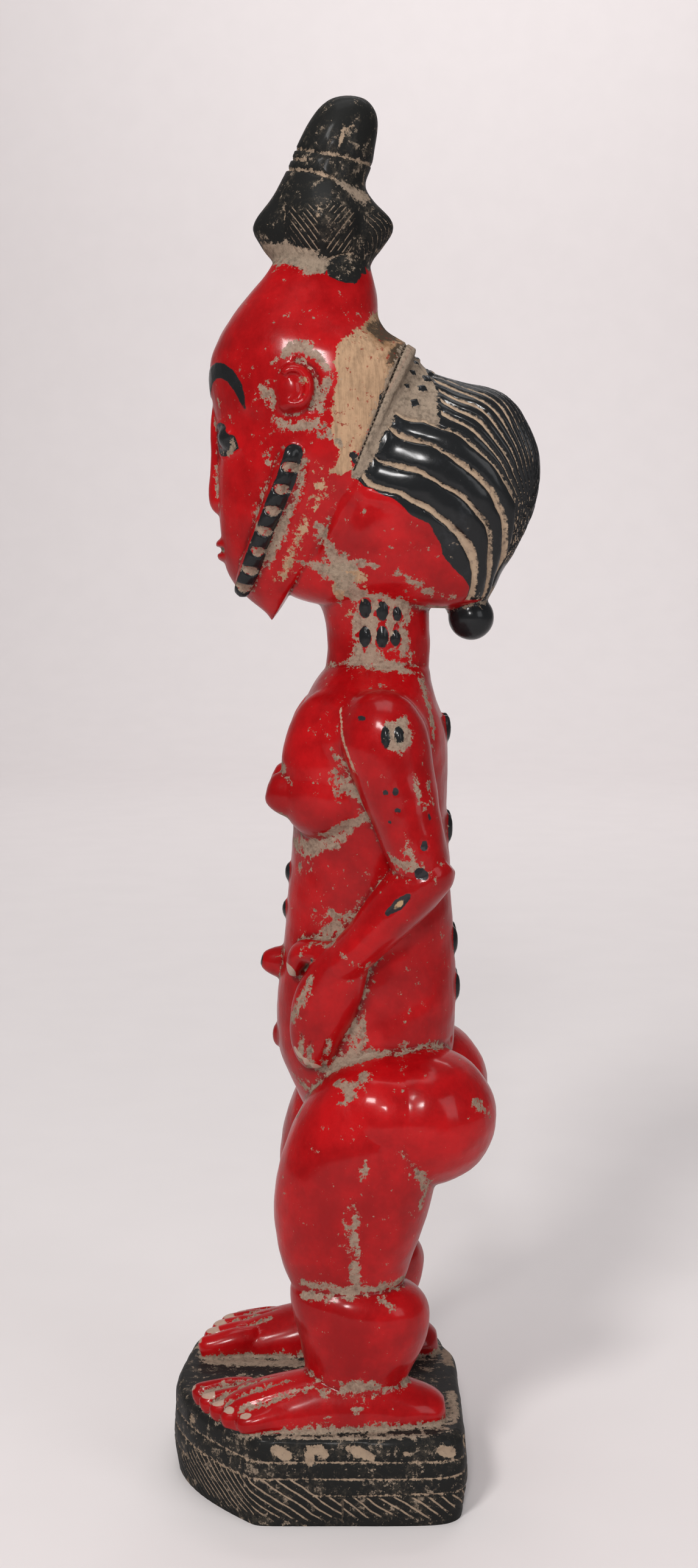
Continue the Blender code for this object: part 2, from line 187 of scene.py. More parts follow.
def ball(bm, x, y, z, rx, ry, rz, pitch=0.0):
    """An ellipsoid, pitched forwards by degrees."""
    size = Matrix.Diagonal((rx, ry, rz, 1.0))
    place = Matrix.Translation((x, y, z)) @ Matrix.Rotation(math.radians(pitch), 4, "X")
    bmesh.ops.create_uvsphere(bm, u_segments=40, v_segments=24, radius=1.0, matrix=place @ size)


def base_outline(drawn_in):
    """The base's outline, drawn in by a share of its eased edge, as x and y in millimetres."""
    steps = 3
    wrapped = BASE_PLAN[-1:] + BASE_PLAN + BASE_PLAN[:2]
    plan = between(wrapped, steps)[steps:steps * (len(BASE_PLAN) + 1)]
    half_x, half_y = (half - drawn_in * BASE_EASE for half in BASE_HALF)
    return [(x * half_x, y * half_y) for x, y in plan]


def base_block(bm):
    """The base, a little fuller halfway up and eased at its top edge. It runs down past the
    floor, where it is trimmed flat."""
    rows = [(-SUNK, 0.5), (0.0, 0.5), (5.7, 0.15), (12.0, 0.0), (20.0, 0.15), (26.0, 0.3),
            (27.8, 0.6), (BASE_TOP, 1.0)]
    skin(bm, [[Vector((x, y, z)) for x, y in base_outline(drawn_in)] for z, drawn_in in rows])


def foot(bm):
    """One foot without its toes, flat on the base."""
    stations = [
        (28.6, -29.0, 31.0, 8.0, 4.6),
        (28.8, -23.0, 31.0, 11.8, 8.0),
        (29.0, -12.0, 31.0, 12.2, 11.4),
        (28.8, 0.0, 31.0, 11.8, 13.6),
        (28.2, 12.0, 31.0, 11.6, 14.0),
        (27.6, 24.0, 31.0, 10.8, 11.4),
        (27.0, 33.0, 31.0, 9.8, 8.4),
        (27.0, 38.6, 31.0, 7.8, 5.8),
        (27.0, 41.2, 31.0, 4.2, 3.2),
    ]
    limb(bm, stations)


def toes(bm, tips):
    """The toes of one foot, straight ahead to their own tips, the small ones with a low nail."""
    for n, (x, y, r) in enumerate(tips):
        middle = math.copysign(FOOT_MIDDLE, x)
        limb(
            bm,
            [
                (x + (middle - x) * 0.2, y + 19.0, 32.6, r * 0.9, r * 1.5),
                (x + (middle - x) * 0.1, y + 12.0, 32.6, r, r * 1.4),
                (x, y + 5.0, 31.8, r, r * 1.15),
                (x, y + 1.4, 31.2, r * 0.9, r),
                (x, y, 30.8, r * 0.5, r * 0.55),
            ],
        )
        if n > 0:
            ball(bm, x, y + 3.4, 30.9 + r * 1.02, r * 0.66, r * 0.95, 0.75, 10.0)


def leg(bm):
    """One bent leg: a barrel-shaped calf, a crease at the knee, and the thigh."""
    calf = [
        (30.0, -2.5, 29.0, 12.5, 36.5),
        (38.0, -2.8, 28.4, 12.3, 36.8),
        (44.0, -3.6, 30.5, 11.2, 38.0),
        (50.0, -4.8, 33.6, 10.0, 39.4),
        (57.0, -6.4, 35.8, 8.8, 40.6),
        (64.0, -7.8, 36.0, 8.4, 41.0),
        (69.0, -8.4, 33.0, 9.6, 39.8),
        (72.5, -7.6, 27.5, 12.6, 36.8),
        (74.5, -2.0, 20.0, 18.0, 31.0),
    ]
    stack(bm, calf, 2.2)
    thigh = [
        (68.0, -5.5, 24.0, 14.0, 35.0),
        (74.0, -9.0, 28.3, 11.0, 38.0),
        (80.0, -11.3, 30.2, 9.0, 40.0),
        (87.0, -12.8, 32.9, 7.2, 41.6),
        (98.0, -13.3, 36.4, 5.0, 43.2),
        (108.0, -12.3, 38.5, 3.6, 43.8),
        (118.0, -9.6, 40.0, 2.6, 43.6),
        (127.0, -5.6, 40.0, 2.6, 42.4),
        (135.0, 0.0, 38.0, 4.0, 39.6),
        (142.0, 8.0, 32.0, 9.0, 33.0),
    ]
    stack(bm, thigh, 2.2)


def hip(bm):
    """One buttock, round and set well back."""
    ball(bm, 20.0, 33.5, 125.4, 23.2, 24.0, 22.4)
    ball(bm, 21.5, 22.0, 126.5, 22.0, 24.0, 20.0)


def trunk(bm):
    """The long trunk, from the crotch to the sloping shoulders, with the belly forward."""
    rows = [
        (114.0, 2.0, 34.0, 17.0),
        (122.0, -3.0, 39.0, 22.0),
        (131.0, -7.6, 42.0, 24.6),
        (140.0, -11.6, 44.0, 25.4),
        (150.0, -13.3, 45.0, 25.2),
        (160.0, -13.0, 45.6, 24.6),
        (170.0, -11.9, 45.4, 24.0),
        (182.0, -10.4, 44.6, 23.6),
        (196.0, -9.2, 43.6, 24.0),
        (210.0, -8.0, 42.9, 25.6),
        (224.0, -7.6, 42.2, 28.8),
        (236.0, -8.0, 42.4, 32.4),
        (245.0, -7.8, 42.0, 35.2),
        (252.0, -6.2, 40.4, 35.2),
        (257.5, -3.4, 38.4, 31.6),
        (262.5, -0.6, 36.8, 24.0),
        (267.0, 2.6, 36.0, 17.4),
        (269.4, 6.0, 33.0, 13.0),
    ]
    stack(bm, centred(rows), 2.3)
    navel = [
        (0.0, -8.0, 170.6, 5.6, 6.0),
        (0.0, -12.0, 171.0, 4.8, 5.4),
        (0.0, -15.4, 171.4, 3.8, 4.2),
        (0.0, -17.6, 171.8, 2.6, 2.8),
        (0.0, -18.4, 172.0, 1.2, 1.3),
    ]
    limb(bm, navel, 4)
    for z, y in ((200.8, -8.4), (188.5, -9.2)):
        ball(bm, 0.0, y, z, 2.6, 2.2, 3.4)
    ball(bm, 0.0, -12.6, 147.0, 3.4, 2.2, 4.2)
    for z, y in ((248.0, 41.6), (216.0, 42.6), (179.0, 44.4), (164.0, 45.2)):
        for x in (-5.2, 5.2):
            ball(bm, x, y, z, 2.2, 1.5, 4.6)


def chest(bm):
    """One breast, running out to its nipple."""
    ball(bm, 15.8, 6.4, 237.0, 15.0, 17.4, 25.0)
    ball(bm, 16.6, 4.2, 228.2, 14.2, 15.2, 15.0)
    nipple = [
        (17.0, -3.0, 228.4, 8.6, 9.2),
        (17.4, -8.0, 228.6, 7.4, 8.0),
        (17.8, -12.4, 229.0, 5.6, 6.2),
        (18.0, -14.6, 229.2, 3.8, 4.4),
        (18.1, -15.6, 229.4, 1.6, 2.0),
    ]
    limb(bm, nipple, 6)


def neck(bm):
    """The long round neck, with the throat and the nape that carry the head."""
    rows = [
        (258.0, 1.0, 37.0, 18.0),
        (266.0, 2.6, 36.0, 15.8),
        (275.0, 3.3, 36.6, 15.4),
        (284.0, 2.2, 36.2, 15.6),
        (292.0, -1.0, 37.0, 16.4),
        (302.0, -4.0, 38.0, 17.0),
    ]
    stack(bm, centred(rows))
    under_hair = [
        (286.4, 6.0, 44.0, 10.0),
        (288.6, -4.0, 53.0, 14.6),
        (292.0, -10.0, 56.0, 17.6),
        (298.0, -12.0, 58.0, 20.6),
        (306.0, -12.0, 60.0, 22.6),
        (316.0, -10.0, 60.0, 23.6),
        (326.0, -8.0, 56.0, 23.0),
    ]
    stack(bm, centred(under_hair), 2.6)


def arm(bm):
    """One arm, bent and joined to the side, with the forearm coming forward to the belly."""
    upper = [
        (25.0, 18.6, 257.4, 5.0, 5.0),
        (28.4, 19.4, 254.6, 10.4, 10.6),
        (31.6, 21.2, 247.4, 13.4, 13.6),
        (33.0, 24.8, 234.0, 12.8, 12.2),
        (33.6, 28.2, 222.0, 12.2, 10.6),
        (34.0, 31.0, 213.0, 12.0, 9.6),
        (34.2, 32.8, 206.6, 11.0, 8.4),
        (34.0, 33.4, 201.6, 7.0, 5.0),
    ]
    limb(bm, upper)
    fore = [
        (34.0, 40.2, 209.6, 7.0, 4.4),
        (34.0, 36.8, 206.8, 11.0, 7.4),
        (33.4, 30.6, 201.4, 12.2, 8.8),
        (32.0, 22.6, 192.2, 11.6, 8.2),
        (30.0, 15.6, 184.0, 10.4, 7.2),
        (28.0, 10.6, 178.2, 9.4, 6.8),
        (26.4, 7.0, 174.4, 8.0, 6.4),
    ]
    limb(bm, fore)


def hand(bm):
    """One hand, laid flat on the side of the belly with its thumb forward."""
    palm = [
        (28.4, 12.0, 180.4, 7.4, 6.4),
        (26.8, 7.6, 173.2, 7.8, 9.0),
        (24.8, 3.0, 163.0, 7.8, 10.2),
        (23.2, 0.4, 153.6, 7.0, 9.0),
        (22.2, 0.2, 146.4, 5.8, 6.8),
        (21.6, 1.0, 142.2, 3.6, 4.4),
    ]
    limb(bm, palm)
    thumb = [
        (25.0, 9.0, 177.4, 6.4, 4.6),
        (22.6, 2.0, 178.6, 6.0, 4.0),
        (19.6, -3.8, 178.2, 5.4, 3.8),
        (17.8, -6.4, 174.4, 5.0, 3.2),
        (17.2, -6.6, 170.6, 3.0, 2.2),
    ]
    limb(bm, thumb)


def face_mask(bm):
    """The face and crown, cut off behind along the jaw and along the band before the hair."""
    rows = [
        (281.0, -13.8, -11.0, 1.6),
        (285.0, -16.4, -4.0, 5.6),
        (289.0, -21.6, 4.0, 9.6),
        (294.0, -26.4, 12.0, 13.6),
        (301.0, -29.2, 20.0, 17.8),
        (308.0, -30.4, 28.0, 20.8),
        (316.0, -31.0, 34.0, 23.4),
        (325.0, -31.2, 38.0, 25.6),
        (335.0, -31.0, 40.0, 27.0),
        (345.0, -31.6, 40.0, 27.8),
        (354.0, -33.2, 40.0, 28.0),
        (361.0, -33.4, 38.0, 27.6),
        (366.0, -32.6, 34.0, 26.6),
        (370.0, -31.0, 27.0, 25.0),
        (373.0, -29.4, 22.4, 23.6),
        (377.0, -26.8, 19.8, 21.6),
        (381.0, -24.0, 19.6, 19.8),
        (385.0, -20.8, 19.2, 18.2),
        (390.0, -16.4, 18.0, 15.8),
        (395.0, -13.2, 16.8, 13.8),
        (399.0, -12.0, 15.0, 12.0),
    ]
    shell = bmesh.new()
    stack(shell, centred(rows), 2.15)
    ear_level = Vector((0.0, *MASK_BEND))
    for end in (MASK_CHIN, MASK_CROWN):
        slant = Vector((0.0, *end)) - ear_level
        if slant.z < 0:
            slant.negate()
        cut = bmesh.ops.bisect_plane(
            shell,
            geom=shell.verts[:] + shell.edges[:] + shell.faces[:],
            plane_co=ear_level,
            plane_no=Vector((0.0, slant.z, -slant.y)),
            clear_outer=True,
        )
        rim = [e for e in cut["geom_cut"] if isinstance(e, bmesh.types.BMEdge)]
        bmesh.ops.contextual_create(shell, geom=rim)
    mesh = bpy.data.meshes.new("face_mask")
    shell.to_mesh(mesh)
    shell.free()
    bm.from_mesh(mesh)
    bpy.data.meshes.remove(mesh)


def features(bm):
    """The nose, straight down from the brow, and the small lips."""
    limb(
        bm,
        [
            (0.0, -30.0, 354.0, 1.8, 2.2),
            (0.0, -30.8, 345.0, 2.4, 2.6),
            (0.0, -31.0, 332.0, 3.2, 2.8),
            (0.0, -30.8, 321.0, 4.6, 3.4),
            (0.0, -29.6, 316.6, 3.0, 2.0),
        ],
    )
    ball(bm, 0.0, -29.4, 306.6, 5.6, 2.8, 2.1)
    ball(bm, 0.0, -28.9, 303.0, 5.0, 2.7, 1.9)


def cheek(bm):
    """One side of the head: the ear's rim, lobe and hollow, the eye, the side of the nose and
    the notched band along the jaw."""
    rim = []
    for degrees in range(-120, 136, 15):
        turn = math.radians(degrees)
        thick = 2.0 + 0.4 * math.cos(turn)
        rim.append((26.6, -6.2 + 4.1 * math.cos(turn), 353.2 + 5.2 * math.sin(turn), 3.7, thick))
    limb(bm, rim, 2)
    ball(bm, 26.2, -8.0, 348.2, 3.4, 3.2, 2.7)
    ball(bm, 25.4, -6.8, 352.4, 4.3, 5.4, 7.0)
    ball(bm, 10.0, -26.4, 339.4, 6.6, 4.2, 4.2)
    ball(bm, 3.2, -29.8, 320.2, 2.4, 2.8, 2.4)
    band = [
        (24.6, -6.4, 335.6, 2.0, 1.8),
        (24.2, -7.8, 332.6, 3.6, 3.0),
        (22.6, -11.4, 323.0, 3.8, 3.1),
        (19.8, -15.2, 313.0, 3.8, 3.1),
        (15.6, -19.2, 303.0, 3.6, 3.1),
        (10.8, -22.4, 295.0, 3.4, 2.9),
        (8.4, -23.4, 291.4, 2.2, 2.0),
    ]
    limb(bm, band)


HAIR_ROWS = [
    (-1.0, 24.0, 59.0, 11.0),
    (3.0, 22.0, 61.5, 13.6),
    (8.0, 18.0, 64.6, 16.4),
    (15.0, 13.0, 71.8, 19.8),
    (22.0, 9.0, 79.4, 22.2),
    (30.0, 6.0, 86.4, 24.0),
    (38.0, 4.0, 89.8, 25.0),
    (46.0, 3.0, 89.6, 25.2),
    (54.0, 2.0, 83.6, 24.6),
    (60.0, 1.0, 81.2, 24.4),
    (64.5, 1.0, 82.6, 25.2),
    (68.0, 1.0, 82.6, 24.6),
]
HAIR_SQUARE = 2.35


def hair_mass(bm):
    """The hair swept back from the slanting edge and down to its knot: rings in planes that
    turn about the pivot. A station is degrees, inner radius, outer radius, half width."""
    rings = []
    for degrees, inner, outer, half in between(HAIR_ROWS, 6):
        tilt = math.radians(degrees)
        points = []
        for k in range(RING):
            across, out = squared(2 * math.pi * k / RING, HAIR_SQUARE)
            r = (inner + outer) / 2 + (outer - inner) / 2 * out
            y = HAIR_PIVOT[0] + r * math.cos(tilt)
            z = HAIR_PIVOT[1] + r * math.sin(tilt)
            points.append(Vector((half * across, y, z)))
        rings.append(points)
    skin(bm, rings)
    ball(bm, 0.0, 46.6, 287.4, 6.4, 5.6, 5.0)
    ball(bm, 0.0, *HAIR_KNOT, HAIR_KNOT_HALF, HAIR_KNOT_HALF, HAIR_KNOT_HALF)


def topknot(bm):
    """The topknot: a bell with four lobes under a stem that leans back."""
    rows = [
        (390.0, -13.0, 17.0, 14.2, 0.0),
        (394.5, -13.6, 17.8, 15.6, 0.04),
        (399.0, -16.8, 21.2, 19.0, 0.16),
        (404.0, -19.8, 24.2, 22.0, 0.26),
        (408.0, -18.8, 23.4, 21.0, 0.24),
        (413.0, -14.8, 18.6, 16.8, 0.12),
        (418.0, -11.6, 15.4, 13.2, 0.0),
        (424.0, -8.4, 17.4, 12.6, 0.0),
        (431.0, -5.4, 18.8, 11.8, 0.0),
        (437.0, -2.2, 19.4, 10.6, 0.0),
        (441.0, 0.8, 18.4, 8.6, 0.0),
        (443.8, 4.4, 15.8, 5.4, 0.0),
        (445.0, 8.4, 11.8, 1.6, 0.0),
    ]
    stack(bm, centred(rows))


# Numbers for every vertex at once

def eased(values, low, high):
    """0 below low, 1 above high and a smooth rise between."""
    t = np.clip((values - low) / (high - low), 0.0, 1.0)
    return t * t * (3 - 2 * t)


def waver(x, y, z, length, seed):
    """Smooth unevenness between about -1 and 1, in waves of about this many millimetres."""
    chance = np.random.default_rng(seed)
    total = np.zeros_like(x)
    for _ in range(8):
        heading = chance.normal(size=3)
        heading *= 2 * math.pi / length * chance.uniform(0.7, 1.5) / np.linalg.norm(heading)
        shift = chance.uniform(0, 2 * math.pi)
        total += np.sin(x * heading[0] + y * heading[1] + z * heading[2] + shift)
    return total / 3.2


def line_gap(a, b, points):
    """Distance to an open line in the side view, with a sign for the side of it."""
    best = np.full(a.shape, 1e6)
    sign = np.ones(a.shape)
    for (a0, b0), (a1, b1) in zip(points, points[1:]):
        da, db = a1 - a0, b1 - b0
        t = np.clip(((a - a0) * da + (b - b0) * db) / (da * da + db * db), 0.0, 1.0)
        gap = np.hypot(a - a0 - t * da, b - b0 - t * db)
        closer = gap < best
        best = np.where(closer, gap, best)
        sign = np.where(closer, np.sign(da * (b - b0) - db * (a - a0)), sign)
    return best * sign


def within(a, b, outline):
    """Distance inside a closed outline in the side view, negative outside it."""
    closed = outline + outline[:1]
    inside = np.zeros(a.shape, bool)
    for (a0, b0), (a1, b1) in zip(closed, closed[1:]):
        if b0 != b1:
            inside ^= ((b0 > b) != (b1 > b)) & (a < (a1 - a0) * (b - b0) / (b1 - b0) + a0)
    gap = np.abs(line_gap(a, b, closed))
    return np.where(inside, gap, -gap)


FAR = -6.0


def strokes(x, y, z, paths):
    """How deep each place is inside the fattest of these strokes, in millimetres. A stroke is a
    path of x, y, z and radius."""
    depth = np.full(x.shape, FAR)
    for path in paths:
        stops = path if len(path) > 1 else path * 2
        for (x0, y0, z0, r0), (x1, y1, z1, r1) in zip(stops, stops[1:]):
            wide = max(r0, r1) - FAR
            near = np.nonzero(
                (z > min(z0, z1) - wide) & (z < max(z0, z1) + wide)
                & (y > min(y0, y1) - wide) & (y < max(y0, y1) + wide)
                & (x > min(x0, x1) - wide) & (x < max(x0, x1) + wide)
            )[0]
            if not len(near):
                continue
            dx, dy, dz = x[near] - x0, y[near] - y0, z[near] - z0
            ex, ey, ez = x1 - x0, y1 - y0, z1 - z0
            long = ex * ex + ey * ey + ez * ez
            t = np.clip((dx * ex + dy * ey + dz * ez) / long, 0.0, 1.0) if long else dx * 0
            gap = np.sqrt((dx - t * ex) ** 2 + (dy - t * ey) ** 2 + (dz - t * ez) ** 2)
            depth[near] = np.maximum(depth[near], r0 + (r1 - r0) * t - gap)
    return depth


def eggs(x, y, z, shapes):
    """How deep each place is inside these ellipsoids, in millimetres. One is its centre and its
    three half widths."""
    depth = np.full(x.shape, FAR)
    for cx, cy, cz, rx, ry, rz in shapes:
        out = np.sqrt(((x - cx) / rx) ** 2 + ((y - cy) / ry) ** 2 + ((z - cz) / rz) ** 2)
        depth = np.maximum(depth, (1 - out) * min(rx, ry, rz))
    return depth


# The hair, by its turn about the pivot and by how far round its section a place is: 0 at the
# side and 90 on the ridge. Each groove's place round is given against the turn.

GROOVES = {
    "A": ([2, 10, 14, 17, 21, 24, 27, 30, 34, 38, 42, 46, 50, 55, 58, 63],
          [63, 60, 57, 54, 49, 46, 40, 36, 33, 30, 28, 28, 28, 31, 30, 29]),
    "B": ([2, 5, 9, 15, 19, 22, 25, 29, 32, 36, 41, 46, 51, 57, 63],
          [62, 60, 56, 46, 40, 36, 31, 27, 24, 21, 18, 17, 19, 20, 21]),
    "C": ([2, 9, 13, 17, 21, 24, 28, 33, 38, 44, 50, 56, 62],
          [48, 41, 35, 31, 26, 21, 16, 12, 8, 6, 6, 7, 7]),
    "D": ([1, 8, 12, 16, 20, 25, 30, 36, 42, 49, 57, 64],
          [28, 27, 23, 18, 12, 6, 2, 0, -2, -2, -1, 0]),
}
GROOVE_HALF = {"A": 0.75, "B": 0.7, "C": 0.75, "D": 0.85}
RED_EDGE = ([3, 7, 11, 16, 20, 25, 30, 33, 37, 43, 51, 57],
            [23, 17, 9, 3, 2, 0, -1, -3, -5, -5, -4, -2])
CRACK_TURN = 67.6
BRAID_TURN = 62.6
COMB_LINES = 13


def hair_place(x, y, z):
    """Turn and place round the hair, in degrees, and the millimetres in a degree of each."""
    rows = np.array(between(HAIR_ROWS, 6))
    dy, dz = y - HAIR_PIVOT[0], z - HAIR_PIVOT[1]
    turn = np.degrees(np.arctan2(dz, dy))
    radius = np.hypot(dy, dz)
    inner, outer, half = (np.interp(turn, rows[:, 0], rows[:, k]) for k in (1, 2, 3))
    deep = (outer - inner) / 2
    out = (radius - (inner + outer) / 2) / deep
    power = HAIR_SQUARE / 2
    up = np.sign(out) * np.abs(out) ** power
    across = (np.abs(x) / half) ** power
    place = np.degrees(np.arctan2(up, across))
    angle = np.radians(place)
    cosine = np.clip(np.abs(np.cos(angle)), 0.05, 1.0)
    sine = np.clip(np.abs(np.sin(angle)), 0.05, 1.0)
    share = 2 / HAIR_SQUARE
    per_round = math.pi / 180 * share * np.hypot(
        half * cosine ** (share - 1) * sine, deep * sine ** (share - 1) * cosine
    )
    return turn, place, radius * math.pi / 180, per_round


def groove_gap(turn, place, per_turn, per_round, table):
    """Distance from a groove that runs along the hair, positive on the ridge's side of it."""
    turns, places = table
    at = np.interp(turn, turns, places)
    slope = (np.interp(turn + 1.5, turns, places) - np.interp(turn - 1.5, turns, places)) / 3
    gap = (place - at) * per_round
    return gap / np.sqrt(1 + (slope * per_round / per_turn) ** 2)


def in_rows(items, key):
    """A vector of each of a mesh's items, in rows of x, y and z."""
    flat = np.empty(len(items) * 3)
    items.foreach_get(key, flat)
    return flat.reshape(-1, 3)


class Surface:
    """Where every vertex of a mesh is, in the drawing's millimetres, and what lies there."""

    def __init__(self, mesh):
        self.co = in_rows(mesh.vertices, "co")
        self.out = in_rows(mesh.vertex_normals, "vector")
        self.x, self.y, self.z = self.co.T
        self.left = np.abs(self.x)
        closer = (EYE[0] - SIDE_PLANE) / (EYE[0] - self.left)
        self.a = EYE[1] + (self.y - EYE[1]) * closer
        self.b = EYE[2] + (self.z - EYE[2]) * closer
        self.outward = self.out[:, 0] * np.sign(self.x)
        self.hair = hair_place(self.x, self.y, self.z)
        self.around, self.inset = base_place(self.x, self.y, self.z)

    def groove(self, name):
        """Distance from one of the grooves along the hair, positive on the ridge's side."""
        return groove_gap(*self.hair, GROOVES[name])

    def hair_zone(self):
        """Depth inside the hair, behind the crack and outside the neck, in millimetres."""
        turn, place, per_turn, per_round = self.hair
        behind = (CRACK_TURN - turn) * per_turn
        above = (turn + 1.0) * per_turn
        outside = (place + 30) * per_round
        return np.minimum(np.minimum(behind, above), outside)


def base_place(x, y, z):
    """How far round the base a place is, in millimetres from her left side, and how far in from
    its widest outline. Places off the base get a large inset."""
    around = np.zeros_like(x)
    inset = np.full(x.shape, 50.0)
    low = np.nonzero(z < BASE_TOP + 1.5)[0]
    outline = base_outline(0.0)
    best = np.full(len(low), 1e6)
    gone = 0.0
    turn = np.zeros(len(low))
    side = np.ones(len(low))
    px, py = x[low], y[low]
    for (x0, y0), (x1, y1) in zip(outline, outline[1:] + outline[:1]):
        ex, ey = x1 - x0, y1 - y0
        long = math.hypot(ex, ey)
        t = np.clip(((px - x0) * ex + (py - y0) * ey) / long**2, 0.0, 1.0)
        gap = np.hypot(px - x0 - t * ex, py - y0 - t * ey)
        closer = gap < best
        best = np.where(closer, gap, best)
        turn = np.where(closer, gone + t * long, turn)
        side = np.where(closer, np.sign(ex * (py - y0) - ey * (px - x0)), side)
        gone += long
    around[low] = turn
    inset[low] = best * side
    return around, inset


# What is carved and painted where. Paths are on her left side and are mirrored to her right,
# apart from the chips, which are only where their own x says.

BROW = [(1.0, -33.4, 355.6, 3.2), (6.0, -32.8, 358.4, 2.9), (11.0, -30.9, 359.9, 2.5),
        (14.6, -28.6, 359.6, 2.3), (17.6, -25.9, 357.6, 2.2), (19.5, -23.5, 354.3, 2.0),
        (20.4, -22.2, 351.0, 1.5), (20.7, -21.2, 347.8, 0.9)]
BAND = [(27.0, -6.4, 333.6, 2.9), (26.6, -8.4, 326.0, 3.3), (25.2, -11.3, 319.5, 3.4),
        (23.4, -13.8, 313.1, 3.4), (21.0, -16.5, 307.1, 3.3), (18.2, -18.8, 301.4, 3.3),
        (14.8, -21.2, 295.6, 3.1), (11.2, -23.4, 291.2, 2.8)]
BAND_NOTCHES = [(26.9, -7.3, 329.3), (26.2, -9.9, 322.6), (24.8, -12.6, 316.1),
                (22.8, -15.2, 309.8), (20.0, -17.4, 303.7), (17.0, -20.0, 297.8),
                (13.0, -22.3, 292.6)]
BAND_SLANT = (-0.42, -0.36, -0.83)
BEHIND_BAND = [(26.0, -3.6, 331.0, 1.0), (24.2, -5.6, 322.0, 1.4), (21.0, -10.6, 311.0, 1.6),
               (16.2, -15.0, 300.0, 1.2)]
IN_EAR = (29.6, -6.8, 352.6, 5.0, 5.4, 7.0)
EAR_GROOVE = [(29.6, -7.8, 357.0, 0.4), (29.6, -5.4, 356.6, 0.7), (29.8, -4.1, 354.6, 0.8),
              (29.8, -3.8, 352.4, 0.8), (29.6, -4.4, 350.4, 0.6), (29.0, -5.8, 349.2, 0.3)]
BEHIND_EAR = [(26.4, -5.0, 361.2, 1.2), (26.6, -0.6, 358.8, 1.4), (27.0, 0.9, 355.4, 1.5),
              (27.2, 1.2, 351.6, 1.5), (27.0, -0.8, 347.2, 1.2)]
NECK_SCARS = [(15.2, 15.5, 286.6, 1.9, 1.75, 3.0), (15.2, 20.8, 285.7, 1.9, 1.7, 2.9),
              (14.1, 25.4, 284.7, 1.9, 1.3, 2.1), (14.9, 15.4, 277.6, 1.9, 1.8, 3.0),
              (15.1, 20.8, 277.5, 1.9, 1.8, 3.2), (14.3, 24.9, 277.2, 1.9, 1.5, 2.4)]
ARM_SCARS = [(44.3, 21.5, 248.2, 1.7, 1.4, 3.5), (44.0, 25.3, 248.6, 1.7, 1.5, 3.2)]
BACK_SCARS = [(5.2, 42.3, 248.0, 2.5, 1.8, 4.9), (5.2, 43.4, 216.0, 2.5, 1.8, 4.9),
              (5.2, 45.1, 179.0, 2.5, 1.8, 4.9), (5.2, 45.9, 164.0, 2.5, 1.8, 4.9)]
BELLY_SCARS = [(0.0, -9.6, 200.8, 2.6, 2.0, 3.2), (0.0, -11.2, 188.5, 2.6, 2.0, 3.2)]
NAVEL = (0.0, -19.0, 171.8, 2.4, 2.2, 2.4)
STUDS = [(59.8, 39.0, 1.75), (59.9, 51.0, 1.85), (60.2, 63.0, 1.9), (60.4, 75.5, 1.8),
         (60.4, 88.0, 1.8), (63.4, 44.5, 1.1), (63.6, 57.0, 1.2), (64.0, 70.0, 1.1),
         (64.2, 83.0, 1.1)]
RAW_BAND = [(28.7, 365.7), (24.4, 357.1), (20.8, 350.1), (18.9, 345.7), (16.7, 341.4),
            (15.3, 337.1), (13.1, 332.7), (11.4, 329.0), (8.8, 327.0), (3.4, 327.4), (5.8, 330.6),
            (7.6, 333.6), (6.2, 336.4), (4.6, 339.6), (5.4, 344.6), (5.1, 350.2), (6.9, 357.2),
            (5.7, 361.0), (6.6, 365.6), (9.4, 369.2), (14.1, 372.2), (17.0, 375.5),
            (21.0, 378.0), (28.0, 375.0), (32.0, 369.0)]
NECK_PATCH = [(14.4, 290.6), (20.0, 290.9), (28.3, 288.7), (28.9, 286.5), (27.7, 285.0),
              (28.9, 282.7), (26.6, 281.0), (28.4, 277.5), (28.4, 273.2), (24.6, 275.0),
              (17.0, 273.6), (13.6, 271.7), (11.7, 276.0), (11.5, 281.1), (12.2, 284.3),
              (13.6, 288.4)]
ARM_PATCH = [(22.0, 250.9), (24.4, 250.4), (25.0, 248.8), (26.2, 251.8), (28.1, 251.5),
             (29.8, 245.6), (29.0, 244.0), (27.0, 243.7), (29.3, 242.6), (25.6, 242.0),
             (22.8, 242.5), (23.4, 246.0)]
TOPKNOT_EDGE = [(-22.0, 391.4), (-9.0, 391.4), (-1.0, 389.6), (3.0, 388.6), (8.0, 387.4),
                (12.6, 386.0), (15.6, 389.4), (22.0, 391.2)]
TOPKNOT_RING = [(-16.0, 397.0), (-12.0, 396.6), (-8.7, 397.2), (-1.7, 395.6), (2.9, 392.9),
                (4.6, 391.1), (2.4, 388.9), (-2.2, 387.6), (-7.8, 390.6), (-13.0, 390.8),
                (-16.0, 392.0)]
STAINS = [(27.0, 363.0, 6.5), (22.0, 371.0, 6.0), (26.0, 357.0, 2.5), (17.0, 372.0, 3.5),
          (21.0, 352.0, 1.6), (18.4, 345.0, 1.2), (16.6, 340.0, 1.0)]

